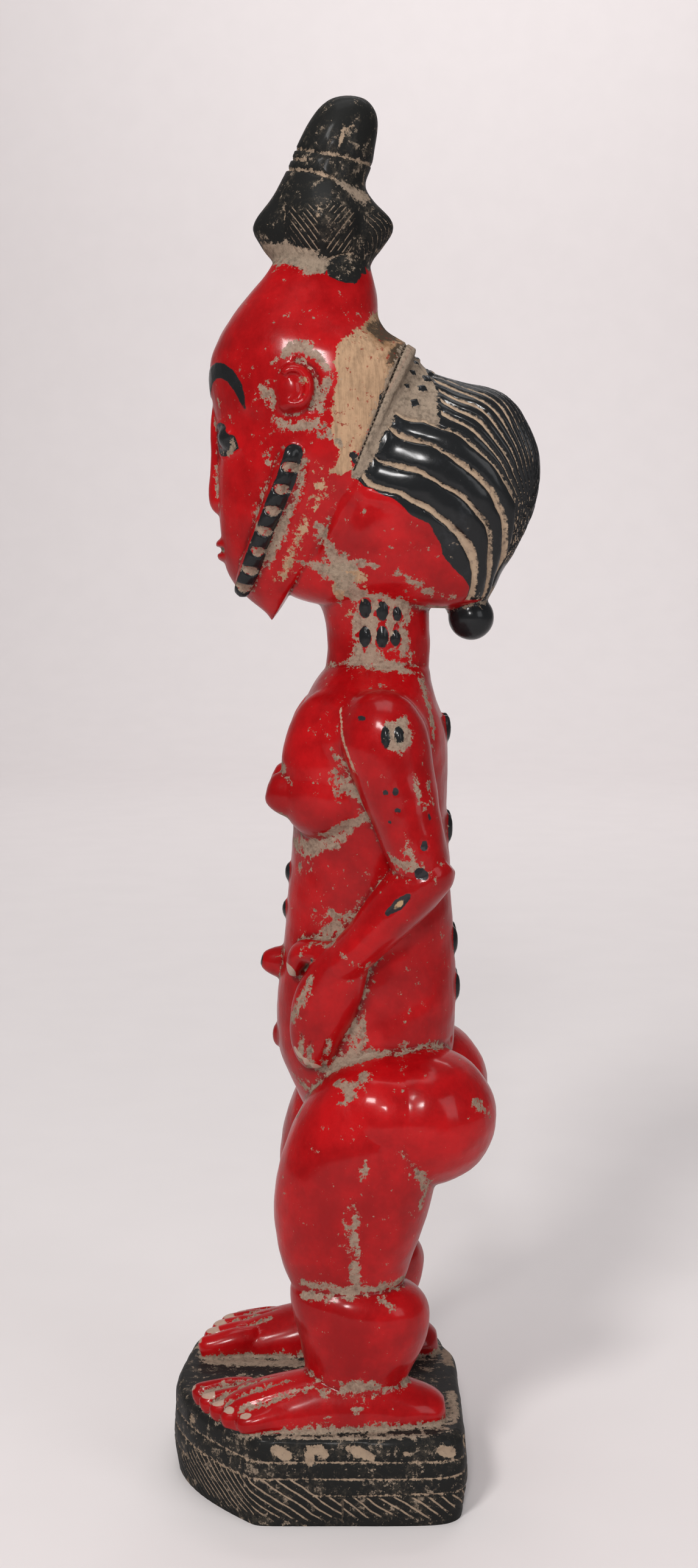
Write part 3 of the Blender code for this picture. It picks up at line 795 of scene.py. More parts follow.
# Worn and dusty places: x, y, z and radius along each stroke, in millimetres
DUST = [
    [(44.5, -24.0, 18.0, 0.3), (44.8, -22.6, 14.0, 1.4), (44.6, -23.4, 9.0, 0.9),
     (44.0, -25.0, 5.0, 0.5)],
    [(33.6, 12.0, 152.6, 0.6), (36.0, 13.0, 146.0, 0.9), (37.5, 13.4, 139.0, 0.5),
     (38.4, 12.4, 131.0, -0.4)],
    [(5.0, 50.6, 290.2, 0.9), (3.0, 53.6, 289.6, 0.8)],
    [(16.0, -25.8, 337.4, 0.9), (15.2, -26.2, 334.8, 1.3), (13.8, -27.6, 334.2, 0.7)],
    [(15.2, -27.2, 340.6, 0.3), (16.4, -25.4, 338.6, 0.5)],
    [(10.4, 35.4, 290.0, 2.0), (9.4, 36.0, 282.0, 1.7), (8.6, 36.4, 273.0, 1.4)],
    [(25.6, -11.6, 361.6, 1.2), (26.4, -7.2, 364.4, 1.9), (26.3, -3.0, 365.4, 2.4),
     (27.0, 1.6, 361.8, 1.8)],
    [(27.4, 3.2, 359.0, 1.2), (27.8, 3.4, 353.0, 1.0), (27.8, 2.0, 347.0, 1.4)],
    [(24.4, -12.4, 343.4, 0.8), (26.4, -7.6, 341.6, 1.4), (27.4, -1.5, 342.2, 1.7),
     (27.2, 3.4, 340.4, 1.6), (26.6, 6.6, 337.6, 1.2)],
    [(24.1, -16.1, 353.4, 1.1), (24.6, -15.0, 350.0, 1.2)],
    [(24.9, -12.9, 354.5, 0.8), (25.2, -12.2, 349.5, 1.0)],
    [(24.4, -14.4, 333.0, 1.7), (24.1, -15.6, 328.6, 1.3)],
    [(26.2, -3.0, 331.0, 0.8), (24.2, -5.2, 322.0, 1.3), (22.8, -7.6, 316.4, 1.5),
     (20.6, -10.2, 311.0, 1.7), (18.9, -12.2, 306.4, 1.7), (16.0, -14.8, 300.0, 1.3)],
    [(21.6, 0.4, 311.8, 1.6), (20.4, 5.6, 303.4, 1.8)],
    [(17.8, -4.4, 301.1, 1.2), (19.3, 2.6, 298.6, 2.2), (17.6, 8.8, 295.6, 3.2),
     (16.2, 12.6, 290.8, 2.8)],
    [(20.4, 4.0, 300.6, 2.0), (20.6, 9.8, 300.0, 2.2), (20.9, 15.4, 300.3, 1.2),
     (20.5, 20.9, 298.4, 0.8), (19.6, 29.3, 295.4, 0.9), (16.6, 35.0, 291.8, 1.1),
     (13.8, 42.0, 290.4, 1.0), (9.6, 50.6, 291.4, 1.6), (4.0, 55.0, 292.0, 2.0),
     (0.0, 56.4, 292.4, 2.2)],
    [(8.0, 38.0, 287.0, 2.6), (7.0, 41.6, 283.6, 2.2)],
    [(3.8, -31.8, 331.0, 0.9), (4.8, -31.0, 322.0, 0.9)],
    [(10.4, -31.0, 350.6, 1.3), (12.2, -30.0, 347.0, 1.1)],
    [(16.8, 0.2, 384.6, 0.5)], [(17.6, 0.0, 381.4, 0.6)],
    [(12.2, 7.0, 414.6, 1.9), (10.4, 11.6, 413.6, 2.2), (6.0, 15.6, 412.6, 1.8)],
    [(4.6, 3.4, 268.2, 1.3), (10.8, 7.1, 268.4, 0.9)],
    [(13.5, 10.6, 269.8, 1.8), (14.3, 14.0, 271.2, 2.2), (15.2, 17.4, 270.4, 2.6),
     (16.2, 21.0, 268.4, 2.4), (15.6, 26.4, 267.4, 2.0), (15.4, 29.2, 266.8, 1.2)],
    [(13.7, 32.8, 264.9, 1.6), (21.4, 35.6, 254.7, 1.5), (24.9, 36.0, 243.8, 1.2)],
    [(31.8, 5.6, 243.3, 0.7), (31.8, 8.4, 238.4, 0.9), (30.8, 5.6, 236.4, 1.1),
     (30.3, 6.6, 229.6, 1.0)],
    [(30.4, 7.4, 233.4, 1.5), (30.3, 11.1, 230.8, 1.8), (30.5, 14.1, 227.8, 1.7)],
    [(24.2, 2.4, 216.0, 1.5), (26.6, 6.4, 218.0, 1.8), (27.4, 11.1, 220.2, 1.7),
     (28.8, 16.0, 222.0, 1.4)],
    [(6.6, -7.6, 211.6, 1.8), (12.0, -5.4, 211.8, 2.0), (20.7, -0.4, 212.2, 2.2),
     (24.4, 6.0, 214.2, 1.9), (26.7, 10.5, 217.3, 1.2)],
    [(11.5, -6.1, 208.2, 1.2), (19.9, -0.2, 210.0, 1.3)],
    [(13.1, -5.5, 204.2, 1.3)], [(18.4, -1.4, 204.6, 0.8)],
    [(40.4, 22.4, 211.4, 1.0), (42.6, 25.6, 210.2, 1.8), (44.6, 29.4, 209.4, 2.0),
     (45.2, 32.1, 208.6, 1.4)],
    [(45.6, 27.4, 219.0, 0.8), (45.8, 28.5, 214.5, 1.1), (45.7, 29.9, 211.0, 1.3)],
    [(44.8, 26.7, 213.9, 1.1)],
    [(44.0, 30.2, 236.3, 0.5), (44.4, 31.4, 231.0, 0.9), (43.7, 33.0, 226.6, 0.6)],
    [(41.4, 32.6, 242.0, 0.4), (41.6, 34.2, 235.0, 0.5), (40.8, 36.0, 227.8, 0.5)],
    [(43.5, 37.0, 210.4, 0.4), (40.0, 40.8, 208.5, 0.3)],
    [(44.8, 36.2, 206.0, 0.5), (44.8, 36.8, 203.8, 0.5)],
    [(13.0, -12.4, 236.6, 1.8), (18.0, -11.0, 237.4, 2.0), (21.6, -8.6, 236.0, 1.4)],
    [(19.0, -12.4, 223.4, 1.3), (19.9, -9.4, 221.0, 1.2)],
    [(3.6, -11.4, 179.4, 1.4), (5.6, -10.6, 176.4, 1.4)],
    [(21.8, 4.3, 191.6, 1.7), (22.6, 6.6, 189.4, 2.2), (23.1, 6.4, 186.0, 2.6),
     (21.4, 3.2, 184.0, 1.8)],
    [(19.6, 0.4, 188.4, 1.3), (20.6, 2.4, 186.8, 1.5)],
    [(23.0, 1.4, 181.6, 1.5)],
    [(25.1, -4.8, 178.3, 0.8), (24.1, -1.0, 181.9, 1.2), (27.0, 3.0, 181.4, 1.2),
     (30.0, 8.0, 183.2, 1.4)],
    [(30.6, -0.6, 172.6, 1.1), (30.0, -2.6, 167.6, 1.7), (28.4, -4.8, 162.6, 1.9),
     (25.6, -7.0, 157.6, 1.5), (18.0, -9.0, 154.0, 1.3)],
    [(37.3, 9.2, 180.6, 1.0), (38.2, 11.4, 178.8, 1.2)], [(38.4, 14.0, 176.6, 1.4)],
    [(37.2, 16.4, 177.0, 1.2), (33.4, 17.2, 174.0, 1.4), (27.4, 17.6, 171.6, 1.2)],
    [(24.8, 14.9, 161.0, 0.9), (25.0, 14.3, 154.0, 1.5), (25.0, 12.4, 148.0, 2.2),
     (25.0, 9.0, 144.4, 2.5)],
    [(24.7, 7.3, 143.0, 2.1), (25.5, 13.0, 145.3, 2.5), (26.0, 18.4, 146.4, 1.6)],
    [(31.6, 6.6, 139.8, 1.6), (35.0, 10.2, 138.6, 2.2), (37.2, 11.4, 136.4, 1.7),
     (38.2, 8.6, 134.2, 0.9)],
    [(34.0, 15.2, 142.0, 1.8), (36.6, 15.4, 138.4, 1.2)],
    [(38.6, 13.4, 133.6, -0.5)], [(37.6, 3.0, 133.4, -0.2)], [(41.0, 13.6, 128.0, -0.7)],
    [(26.1, 18.8, 146.6, 0.9), (24.7, 24.6, 147.4, 0.7), (23.9, 28.4, 147.9, 0.8),
     (24.5, 33.3, 147.4, 0.6), (21.0, 40.0, 148.4, 0.8), (14.0, 44.0, 149.0, 0.9)],
    [(24.2, 27.5, 149.2, 1.4)], [(25.2, 33.1, 147.2, 1.1)],
    [(19.6, -1.8, 134.2, 1.1), (22.2, -3.2, 130.8, 0.8), (25.2, -5.8, 126.0, 0.4)],
    [(13.4, -5.8, 135.9, 1.5), (18.0, -3.4, 133.4, 1.2)],
    [(35.0, 49.4, 133.4, 1.3), (33.2, 51.2, 131.2, 1.6), (30.6, 53.8, 128.2, 1.1)],
    [(13.0, 43.6, 147.4, 1.6), (9.4, 46.8, 143.6, 1.4), (5.6, 50.6, 139.0, 1.2)],
    [(39.0, 31.8, 112.4, 1.0), (37.4, 33.8, 109.4, 1.6), (35.4, 35.0, 104.8, 1.9),
     (35.8, 33.6, 101.0, 1.3), (36.8, 31.4, 99.0, 0.9)],
    [(43.6, 15.5, 117.8, 0.5), (43.7, 14.8, 111.0, 0.4)],
    [(43.6, 12.0, 105.0, 0.6), (43.3, 12.2, 98.6, 1.1), (42.6, 12.3, 93.0, 1.5),
     (41.2, 12.3, 87.0, 1.8), (40.4, 12.2, 82.0, 1.8)],
    [(43.2, 9.8, 100.3, 0.5), (43.0, 9.4, 97.0, 0.6)],
    [(34.4, -5.2, 75.6, 1.2), (38.4, 3.3, 75.4, 1.6), (38.1, 9.2, 73.6, 1.7),
     (36.8, 20.0, 74.2, 1.5), (31.0, 27.5, 75.4, 1.4), (20.0, 30.0, 74.6, 1.6)],
    [(34.2, -4.5, 71.4, 1.4), (38.2, 5.0, 71.6, 0.9), (38.2, 12.0, 71.4, 0.6)],
    [(37.4, 20.6, 71.4, 1.2), (37.2, 23.0, 68.6, 1.5), (36.8, 22.6, 65.8, 0.8)],
    [(39.6, 12.6, 80.4, 1.2), (39.2, 12.4, 76.0, 1.6)],
    [(37.4, -1.0, 42.2, 1.0), (38.6, 4.4, 41.0, 1.8), (37.6, 12.0, 42.6, 2.1),
     (37.4, 17.6, 43.2, 1.8), (35.8, 21.0, 41.6, 1.6), (29.4, 28.6, 41.0, 1.5)],
    [(38.4, 18.0, 39.0, 1.2), (38.6, 12.0, 39.4, 0.9), (39.0, 6.2, 39.6, 1.2)],
    [(38.0, 23.6, 37.4, 1.0)], [(39.4, 14.0, 36.4, 1.3), (39.6, 10.6, 35.0, 0.9)],
    [(41.0, 3.3, 34.2, 0.9)],
    [(20.0, -2.0, 42.0, 1.4), (14.0, 2.0, 42.0, 1.4), (12.4, 12.0, 42.0, 1.6)],
]
PALE = [
    [(23.0, -0.4, 318.8, 1.4), (21.8, -2.6, 313.4, 1.7), (20.6, -4.9, 308.4, 1.5),
     (19.2, -6.6, 304.6, 1.9), (17.0, -9.0, 299.8, 1.9), (14.4, -11.2, 295.6, 1.3)],
    [(26.0, 0.2, 329.6, 1.0), (25.0, 2.0, 325.0, 1.2), (24.2, 2.6, 320.6, 0.8)],
    [(20.2, 6.4, 298.6, 2.4), (20.2, 11.4, 297.4, 2.6), (17.4, 14.0, 293.0, 1.8)],
    [(14.6, 14.4, 289.4, 1.0), (13.6, 10.4, 285.4, 0.9)],
    [(30.2, -3.4, 354.6, 0.8), (30.2, -3.2, 352.4, 0.8)],
    [(24.6, 1.6, 327.0, 1.4), (24.0, 0.4, 321.0, 1.2), (24.6, 5.0, 323.0, 0.6)],
]
KNOT_MARKS = [[(4.6, 50.7, 287.5, 0.3), (6.4, 52.0, 286.6, 0.4), (5.6, 54.8, 285.3, 0.2)],
              [(4.6, 46.0, 290.4, 0.5), (4.6, 50.0, 290.2, 0.4)]]
NECK_PALE = [
    [(19.6, 3.5, 298.5, 1.3), (19.6, 9.0, 297.5, 1.9), (19.2, 14.5, 296.5, 1.5)],
    [(17.8, 7.5, 293.5, 2.1), (16.2, 7.6, 289.4, 1.5), (15.0, 8.4, 286.0, 0.8)],
    [(16.6, 11.0, 289.0, 1.0), (15.4, 11.4, 284.0, 0.8)],
]
BLACK_SPOTS = [
    [(29.9, -4.0, 353.6, 0.7), (29.9, -4.1, 351.0, 0.8)],
    [(14.0, 26.0, 365.0, 1.5), (17.0, 25.0, 361.8, 1.8), (20.0, 24.0, 359.4, 1.2)],
    [(23.4, 15.0, 359.4, 0.8)], [(23.0, 17.2, 358.2, 1.1)],
    [(24.0, 19.4, 354.6, 1.0), (24.6, 20.4, 351.0, 1.5), (25.2, 19.4, 347.0, 0.8)],
    [(25.9, 11.4, 333.4, 1.5), (25.9, 12.6, 331.4, 1.2)],
    [(16.2, 5.0, 389.0, 1.6), (15.2, 9.0, 387.6, 1.9), (13.2, 12.4, 387.2, 1.2)],
    [(15.6, -2.2, 390.9, 0.9), (16.0, 0.4, 389.6, 0.8)],
]
CHIPS = [
    [(38.6, 8.4, 254.2, 0.7), (40.0, 11.4, 254.2, 1.5), (41.0, 14.6, 254.0, 0.8)],
    [(45.0, 21.4, 231.8, 0.9)], [(45.6, 24.3, 232.6, 0.9), (45.7, 24.3, 231.6, 0.8)],
    [(45.5, 24.4, 226.4, 0.7), (45.5, 25.3, 226.4, 0.7)], [(44.2, 22.5, 222.7, 0.7)],
    [(42.9, 34.7, 224.8, 0.5), (42.9, 34.6, 223.6, 0.6)],
    [(45.4, 33.1, 216.4, 1.0), (45.4, 33.0, 215.2, 1.1)],
    [(45.3, 31.9, 207.2, 1.9), (45.2, 32.9, 206.6, 1.5)],
    [(43.8, 22.0, 194.8, 0.9), (44.6, 25.2, 197.6, 1.7), (45.2, 28.2, 200.2, 1.0)],
    [(27.2, -1.5, 176.9, 0.7)],
    [(-40.4, 14.0, 240.0, 0.9)], [(-44.0, 27.0, 222.0, 1.2)], [(-44.6, 31.0, 205.0, 1.4)],
    [(-36.0, -8.0, 104.0, 1.0)], [(-30.0, 46.0, 120.0, 1.2)], [(12.0, -9.0, 214.0, 0.7)],
]
WOOD_CHIPS = [
    [(44.2, 23.4, 196.0, 0.5), (44.7, 25.6, 197.8, 1.0), (45.0, 26.8, 199.0, 0.5)],
    [(-44.0, 27.0, 222.0, 0.6)],
]
FINGER_CLEFTS = [
    [(28.8, -4.8, 153.6, 0.35), (28.0, -4.6, 149.6, 0.6), (24.6, -4.2, 144.6, 0.7)],
    [(29.4, -1.6, 151.2, 0.35), (28.2, -1.9, 147.0, 0.6), (24.4, -2.0, 142.2, 0.7)],
    [(29.2, 3.8, 151.4, 0.35), (28.0, 3.0, 147.0, 0.6), (24.0, 2.4, 142.0, 0.7)],
]
FINGER_NAILS = [
    [(25.6, -6.4, 148.4, 1.0), (25.8, -5.0, 146.0, 1.0)],
    [(26.4, -3.4, 145.4, 1.0), (26.0, -2.8, 143.4, 1.0)],
    [(25.8, -0.8, 143.4, 1.2), (25.4, 1.0, 141.6, 1.2), (25.0, 2.4, 141.0, 1.0)],
]
THUMB_NAIL = (19.5, -9.0, 171.4, 7.0, 2.7, 3.5)
BASE_CHIPS = [
    [(45.4, -12.6, 25.4, 1.0), (45.4, -10.6, 24.4, 1.5), (45.4, -9.0, 23.4, 1.2)],
    [(45.6, -2.0, 25.2, 1.2), (45.6, 1.4, 25.4, 1.3), (45.6, 2.8, 23.8, 0.8)],
    [(45.6, -1.8, 24.0, 1.1), (45.6, -1.4, 21.6, 1.0)],
    [(45.4, 10.6, 25.6, 0.9), (45.4, 13.6, 24.6, 1.5), (45.4, 17.2, 23.2, 0.9)],
    [(45.2, 28.2, 24.0, 0.6)],
    [(43.6, 39.4, 24.4, 1.3), (43.0, 42.4, 23.6, 1.4)],
    [(37.0, 47.0, 24.4, 1.6)], [(16.0, 48.0, 24.0, 1.3), (12.0, 48.0, 24.6, 1.3)],
    [(-8.0, 48.0, 24.2, 1.4), (-11.0, 48.0, 23.8, 1.0)], [(-34.0, 44.6, 24.2, 1.5)],
    [(-45.6, 22.0, 24.4, 1.5), (-45.6, 18.6, 24.0, 1.1)], [(-45.6, -2.0, 24.6, 1.6)],
    [(-45.6, -22.0, 24.0, 1.4), (-45.6, -25.0, 24.6, 1.0)],
    [(-30.0, -45.4, 24.4, 1.5), (-26.0, -46.0, 24.0, 1.1)], [(-4.0, -47.6, 24.2, 1.4)],
    [(20.0, -42.0, 24.2, 1.4), (23.0, -40.6, 24.0, 1.0)],
]
TOP_DUST = [
    [(43.2, -12.0, 28.7, 0.8), (43.8, 0.0, 28.7, 1.4), (43.6, 18.0, 28.7, 1.2),
     (42.6, 34.0, 28.7, 0.9)],
    [(13.6, -38.0, 28.7, 2.4), (13.0, -22.0, 28.7, 2.8), (12.0, -6.0, 28.7, 2.6),
     (11.0, 10.0, 28.7, 2.4), (12.0, 26.0, 28.7, 2.4)],
    [(12.0, 44.0, 28.7, 2.2), (28.0, 45.0, 28.7, 1.4), (40.0, 40.0, 28.7, 0.9)],
    [(3.0, -30.0, 28.7, 0.3), (2.6, -8.0, 28.7, 0.5), (3.4, 20.0, 28.7, 0.4)],
    [(41.8, -30.0, 28.7, 0.9), (36.0, -36.0, 28.7, 1.2), (26.0, -43.0, 28.7, 1.2)],
]
BASE_LINES = (21.1, 15.8, 10.6)
HATCH_TOP = 10.2
HATCH_PITCH = 4.6
FRONT_PITCH = 3.5
FRONT_FACE = (268.0, 332.0)
HATCH_SLANT = 0.72
SCRATCH = [(7.7, 255.9), (8.0, 250.7), (8.5, 245.6), (10.4, 240.0), (12.2, 235.5)]
TOPKNOT_LINES = [
    ([(-9.0, 424.9), (-4.6, 424.8), (1.6, 423.9), (8.0, 422.8), (15.4, 420.6), (19.0, 419.4)],
     0.35),
    ([(-7.4, 422.0), (-3.0, 421.6)], 0.4),
    ([(-9.0, 419.1), (-1.7, 418.5), (2.0, 417.5), (6.4, 416.0)], 0.45),
    ([(3.8, 392.2), (7.4, 393.4), (11.8, 394.1)], 0.2),
]
TOPKNOT_WEAR = [
    [(9.4, 7.6, 438.4, 0.2), (10.6, 8.4, 434.6, 0.5), (11.4, 9.0, 431.6, 0.9),
     (11.9, 7.6, 428.0, 0.4), (12.4, 6.0, 424.8, 0.1)],
    [(10.4, 12.0, 434.6, 0.4), (11.0, 10.4, 432.4, 0.7)],
    [(10.6, -9.4, 411.0, 0.1), (12.2, -9.6, 404.0, 0.5)],
    [(20.4, 1.0, 407.6, 0.5), (21.6, 1.0, 404.8, 0.4)],
    [(6.0, 16.8, 421.0, 1.0), (5.0, 17.6, 424.0, 0.5)],
]
CHEVRON_PITCH = 2.3
CHEVRON_SLOPE = 1.25
CHEVRON_START = 392.0
TOPKNOT_AXIS = 2.2
SPINE_HALF = 3.4
WAIST_LINE = 147.6
MOUTH_LINE = 304.7
MOUTH_HALF = 4.6

# The almond of the eye: its middle in x and z, its half length and half height, and its lean
ALMOND = (10.8, 338.8)
ALMOND_HALF = (7.8, 5.0)
ALMOND_LEAN = math.radians(-24)

# Heights that part one kind of carving or paint from another
BASE_HIGH = 30.0
FEET_HIGH = 60.0
HEAD_LOW = 285.0
TOPKNOT_LOW = 390.0

# How soon the base's slanting face in front gives way to the side at either end
FRONT_EASE = 12


def comb_end(place):
    """Turn at which the combed crown gives way to the strip before the face."""
    return 51.6 + (place - 29) * 0.2


def on_front(around):
    """1 on the base's slanting face in front and 0 elsewhere, by the place round the base."""
    begun = eased(around, FRONT_FACE[0], FRONT_FACE[0] + FRONT_EASE)
    return begun * eased(FRONT_FACE[1] - around, 0, FRONT_EASE)


def stud_gap(surface, at_turn, at_place):
    """Distance from the middle of a stud: along the hair and round it added up, which makes the
    stud a lozenge."""
    turn, place, per_turn, per_round = surface.hair
    return np.abs(turn - at_turn) * per_turn + np.abs(place - at_place) * per_round * 0.9


def comb(surface):
    """Phase of the fine grooves over the crown of the hair, whole at each groove, and where
    they run."""
    turn, place = surface.hair[:2]
    start = np.interp(turn, *GROOVES["A"])
    lines = COMB_LINES - 7.0 * eased(turn, 26.0, 64.0)
    phase = (place - start) / (90 - start) * lines
    shown = eased(phase, 0.5, 0.9) * eased(comb_end(place) - turn, 0.0, 1.5)
    shown *= eased(turn, 8.0, 12.0)
    shown *= eased(surface.hair_zone(), -0.5, 0.5)
    sway = waver(surface.x, surface.y, surface.z, 14.0, 5) * 0.13
    return phase + sway * (phase < COMB_LINES - 0.8), shown


def chevrons(surface):
    """Phase of the slanting grooves on the topknot's four lobes, and where they run."""
    x, y, z = surface.x, surface.y, surface.z
    turn = np.arctan2(y - TOPKNOT_AXIS, x)
    from_valley = np.abs((np.degrees(turn) + 45) % 90 - 45)
    reach = np.hypot(x, y - TOPKNOT_AXIS)
    across = np.radians(from_valley) * reach
    phase = (z - across * CHEVRON_SLOPE - CHEVRON_START) / CHEVRON_PITCH
    shown = eased(z, 394.0, 396.0) * eased(411.0 - z, 0.0, 4.0) * eased(reach, 12.0, 14.5)
    shown *= eased(across, 0.6, 1.6) * eased(38.0 - from_valley, 0.0, 5.0)
    shown *= eased(y, -11.0, -8.0) * (0.75 + 0.25 * waver(x, y, z, 9.0, 31))
    return phase, shown


def hatching(surface):
    """Phase of the slanting scratches low on the base's side, and where they run. They crowd
    together on the slanting face in front and reach higher there."""
    s, z = surface.around, surface.z
    stops = np.arange(0.0, 400.0, 1.0)
    front = on_front(stops)
    count = np.cumsum(1 / HATCH_PITCH + front * (1 / FRONT_PITCH - 1 / HATCH_PITCH))
    front = np.interp(s, stops, front)
    phase = np.interp(s + z / HATCH_SLANT, stops, count)
    phase = phase + 0.24 * waver(s, s * 0, z * 0.4, 26.0, 8) + 0.05 * waver(s, z, z * 0, 7.0, 9)
    top = HATCH_TOP + 6.4 * front
    shown = eased(top - z, -0.2, 0.5) * eased(1.6 - surface.inset, 0.0, 0.6)
    return phase, shown


def toe_clefts(surface):
    """Depth inside the grooves that run back between the toes, seen from above."""
    paths = []
    for tips in (LEFT_TOES, RIGHT_TOES):
        for (x0, y0, _), (x1, y1, _) in zip(tips, tips[1:]):
            x, y = (x0 + x1) / 2, max(y0, y1)
            middle = math.copysign(FOOT_MIDDLE, x)
            paths.append([(x, y + 1.0, 5.0, 0.75), (x, y + 8.0, 5.6, 0.85),
                          (x + (middle - x) * 0.12, y + 16.0, 6.0, 0.55),
                          (x + (middle - x) * 0.2, y + 23.0, 6.2, 0.1)])
    depth = strokes(surface.x, surface.y, surface.z * 0.16, paths)
    return np.where(surface.z > BASE_TOP + 0.4, depth, FAR)


def wave_groove(phase, sharp):
    """1 at each whole phase, falling to 0 between; sharper as the power rises."""
    return (0.5 + 0.5 * np.cos(2 * math.pi * phase)) ** sharp


def cut_lines(surface):
    """Depth inside the single carved lines, in millimetres: positive in a line."""
    a, b, z = surface.a, surface.b, surface.z
    depth = np.full(a.shape, FAR)
    in_hair = surface.hair_zone()
    turn = surface.hair[0]
    begun = (BRAID_TURN + 1.0 - turn) * surface.hair[2]
    for name, half in GROOVE_HALF.items():
        width = half * (0.8 + 0.25 * waver(surface.x, surface.y, z, 18.0, 3))
        width = width + (0.4 * eased(-np.abs(turn - 14), -8.0, -2.0) if name == "D" else 0.0)
        gap = width - np.abs(surface.groove(name))
        depth = np.maximum(depth, np.minimum(gap, np.minimum(in_hair, begun)))
    s = surface.around
    for level in BASE_LINES:
        wander = 0.35 * waver(s, s * 0, z * 0, 60.0, int(level))
        gap = 0.27 - np.abs(z - level - wander)
        gap = np.minimum(gap, 1.8 - surface.inset)
        if level == BASE_LINES[-1]:
            gap = np.where(on_front(s) > 0.5, FAR, gap)
        depth = np.maximum(depth, gap)
    for line, half in TOPKNOT_LINES:
        on_stem = np.where((z > 385) & (surface.y > -14), 1.0, FAR)
        depth = np.maximum(depth, np.minimum(half - np.abs(line_gap(a, b, line)), on_stem))
    return depth


def carve(surface):
    """How far each vertex moves along its own normal, in millimetres."""
    x, y, z, left = surface.x, surface.y, surface.z, surface.left
    turn, place, per_turn = surface.hair[:3]
    zone = surface.hair_zone()
    moved = 0.16 * waver(x, y, z, 23.0, 1) + 0.07 * waver(x, y, z, 9.0, 2)
    moved *= eased(z, 1.0, 4.0)

    gaps = {name: surface.groove(name) for name in GROOVES}
    braid = np.zeros_like(x)
    for low, high in (("B", "A"), ("C", "B"), ("D", "C")):
        wide = np.maximum(gaps[low] - gaps[high], 0.5)
        across = np.clip(gaps[low] / wide, 0.0, 1.0)
        braid += np.where((gaps[low] > 0) & (gaps[high] < 0),
                          np.sqrt(np.maximum(1 - (2 * across - 1) ** 2, 0)), 0.0)
    last = np.clip(-gaps["D"] / 5.0, 0, 1)
    braid += np.where((gaps["D"] < 0) & (gaps["D"] > -5.0),
                      np.sqrt(np.maximum(1 - (2 * last - 1) ** 2, 0)) * 0.5, 0.0)
    begun = eased((BRAID_TURN - turn) * per_turn, -0.8, 1.2)
    moved += 0.95 * braid * begun * eased(zone, 0.0, 1.5)
    phase, shown = comb(surface)
    moved += 0.35 * shown * (wave_groove(phase + 0.5, 1.0) - 0.6)
    moved -= 0.5 * shown * wave_groove(phase, 4.0)
    lines = cut_lines(surface)
    moved -= 0.8 * eased(lines, -0.35, 0.35) * (z > HEAD_LOW)
    moved -= 0.45 * eased(lines, -0.35, 0.3) * (z < BASE_HIGH)

    crack = np.abs(turn - CRACK_TURN) * per_turn
    moved -= 0.9 * eased(0.55 - crack, 0.0, 0.5) * eased(place, -2.0, 6.0) * (zone > -2.5)
    for *middle, half in STUDS:
        moved += 0.75 * eased(half + 0.5 - stud_gap(surface, *middle), -0.1, 0.9) * (zone > 0)

    phase, shown = chevrons(surface)
    moved -= 0.5 * shown * wave_groove(phase, 3.5)
    phase, shown = hatching(surface)
    moved -= 0.4 * shown * wave_groove(phase, 5.0)

    moved += 0.3 * eased(strokes(left, y, z, [BROW]), -0.5, 0.6)
    eye = eye_depth(left, y, z)
    moved += 0.45 * eased(eye, -1.6, -0.3) - 0.3 * eased(eye, -0.3, 0.6)
    moved -= 0.6 * eased(strokes(left, y, z, [EAR_GROOVE]), -0.9, 0.7)
    moved -= 0.8 * eased(strokes(left, y, z, [BEHIND_EAR]), -1.0, 1.0)
    moved += 0.45 * eased(strokes(left, y, z, [BAND]), -0.6, 0.4)
    moved -= 1.0 * eased(notches(surface), -0.45, 0.5)
    moved -= 0.8 * eased(strokes(left, y, z, [BEHIND_BAND]), -1.6, 1.4)
    moved += 0.8 * eased(eggs(left, y, z, NECK_SCARS + ARM_SCARS), -0.3, 1.1)
    ragged = 0.25 * waver(x, y, z, 2.6, 12)
    moved -= 0.22 * eased(strokes(x, y, z, CHIPS + BASE_CHIPS) + ragged, -0.15, 0.25)
    moved -= 0.3 * eased(strokes(x, y, z, WOOD_CHIPS), -0.3, 0.4)
    moved -= 0.35 * eased(strokes(x, y, z, BASE_CHIPS) + ragged * 2 + 0.4, -0.2, 0.5)
    moved -= 0.8 * eased(strokes(left, y, z, FINGER_CLEFTS), -0.6, 0.5)
    moved -= 0.8 * eased(toe_clefts(surface), -0.8, 0.7)
    on_trunk = eased(y, 30.0, 36.0) * eased(z, 150.0, 160.0) * eased(262.0 - z, 0.0, 20.0)
    moved -= 1.0 * np.exp(-((x / SPINE_HALF) ** 2)) * on_trunk
    waist = 0.9 - np.abs(z - WAIST_LINE - 0.4 * waver(x, y, x * 0, 30.0, 6))
    waist = np.minimum(waist, np.where((y > 15) & (left > 8), 1.0, FAR))
    moved -= 0.3 * eased(waist, -0.8, 0.8)
    mouth = np.abs(z - MOUTH_LINE) + np.abs(np.maximum(left - MOUTH_HALF, 0))
    moved -= 0.9 * eased(0.8 - mouth, -0.6, 0.6) * (y < -24)
    return moved


def notches(surface):
    """Depth inside the oval notches along the band on the jaw."""
    left, y, z = surface.left, surface.y, surface.z
    depth = np.full(left.shape, FAR)
    tx, ty, tz = Vector(BAND_SLANT).normalized()
    for cx, cy, cz in BAND_NOTCHES:
        dx, dy, dz = left - cx, y - cy, z - cz
        along = dx * tx + dy * ty + dz * tz
        across = np.sqrt(np.maximum(dx * dx + dy * dy + dz * dz - along**2, 0))
        out = np.sqrt((along / 1.6) ** 2 + (across / 2.9) ** 2)
        depth = np.maximum(depth, (1 - out) * 1.6)
    return depth


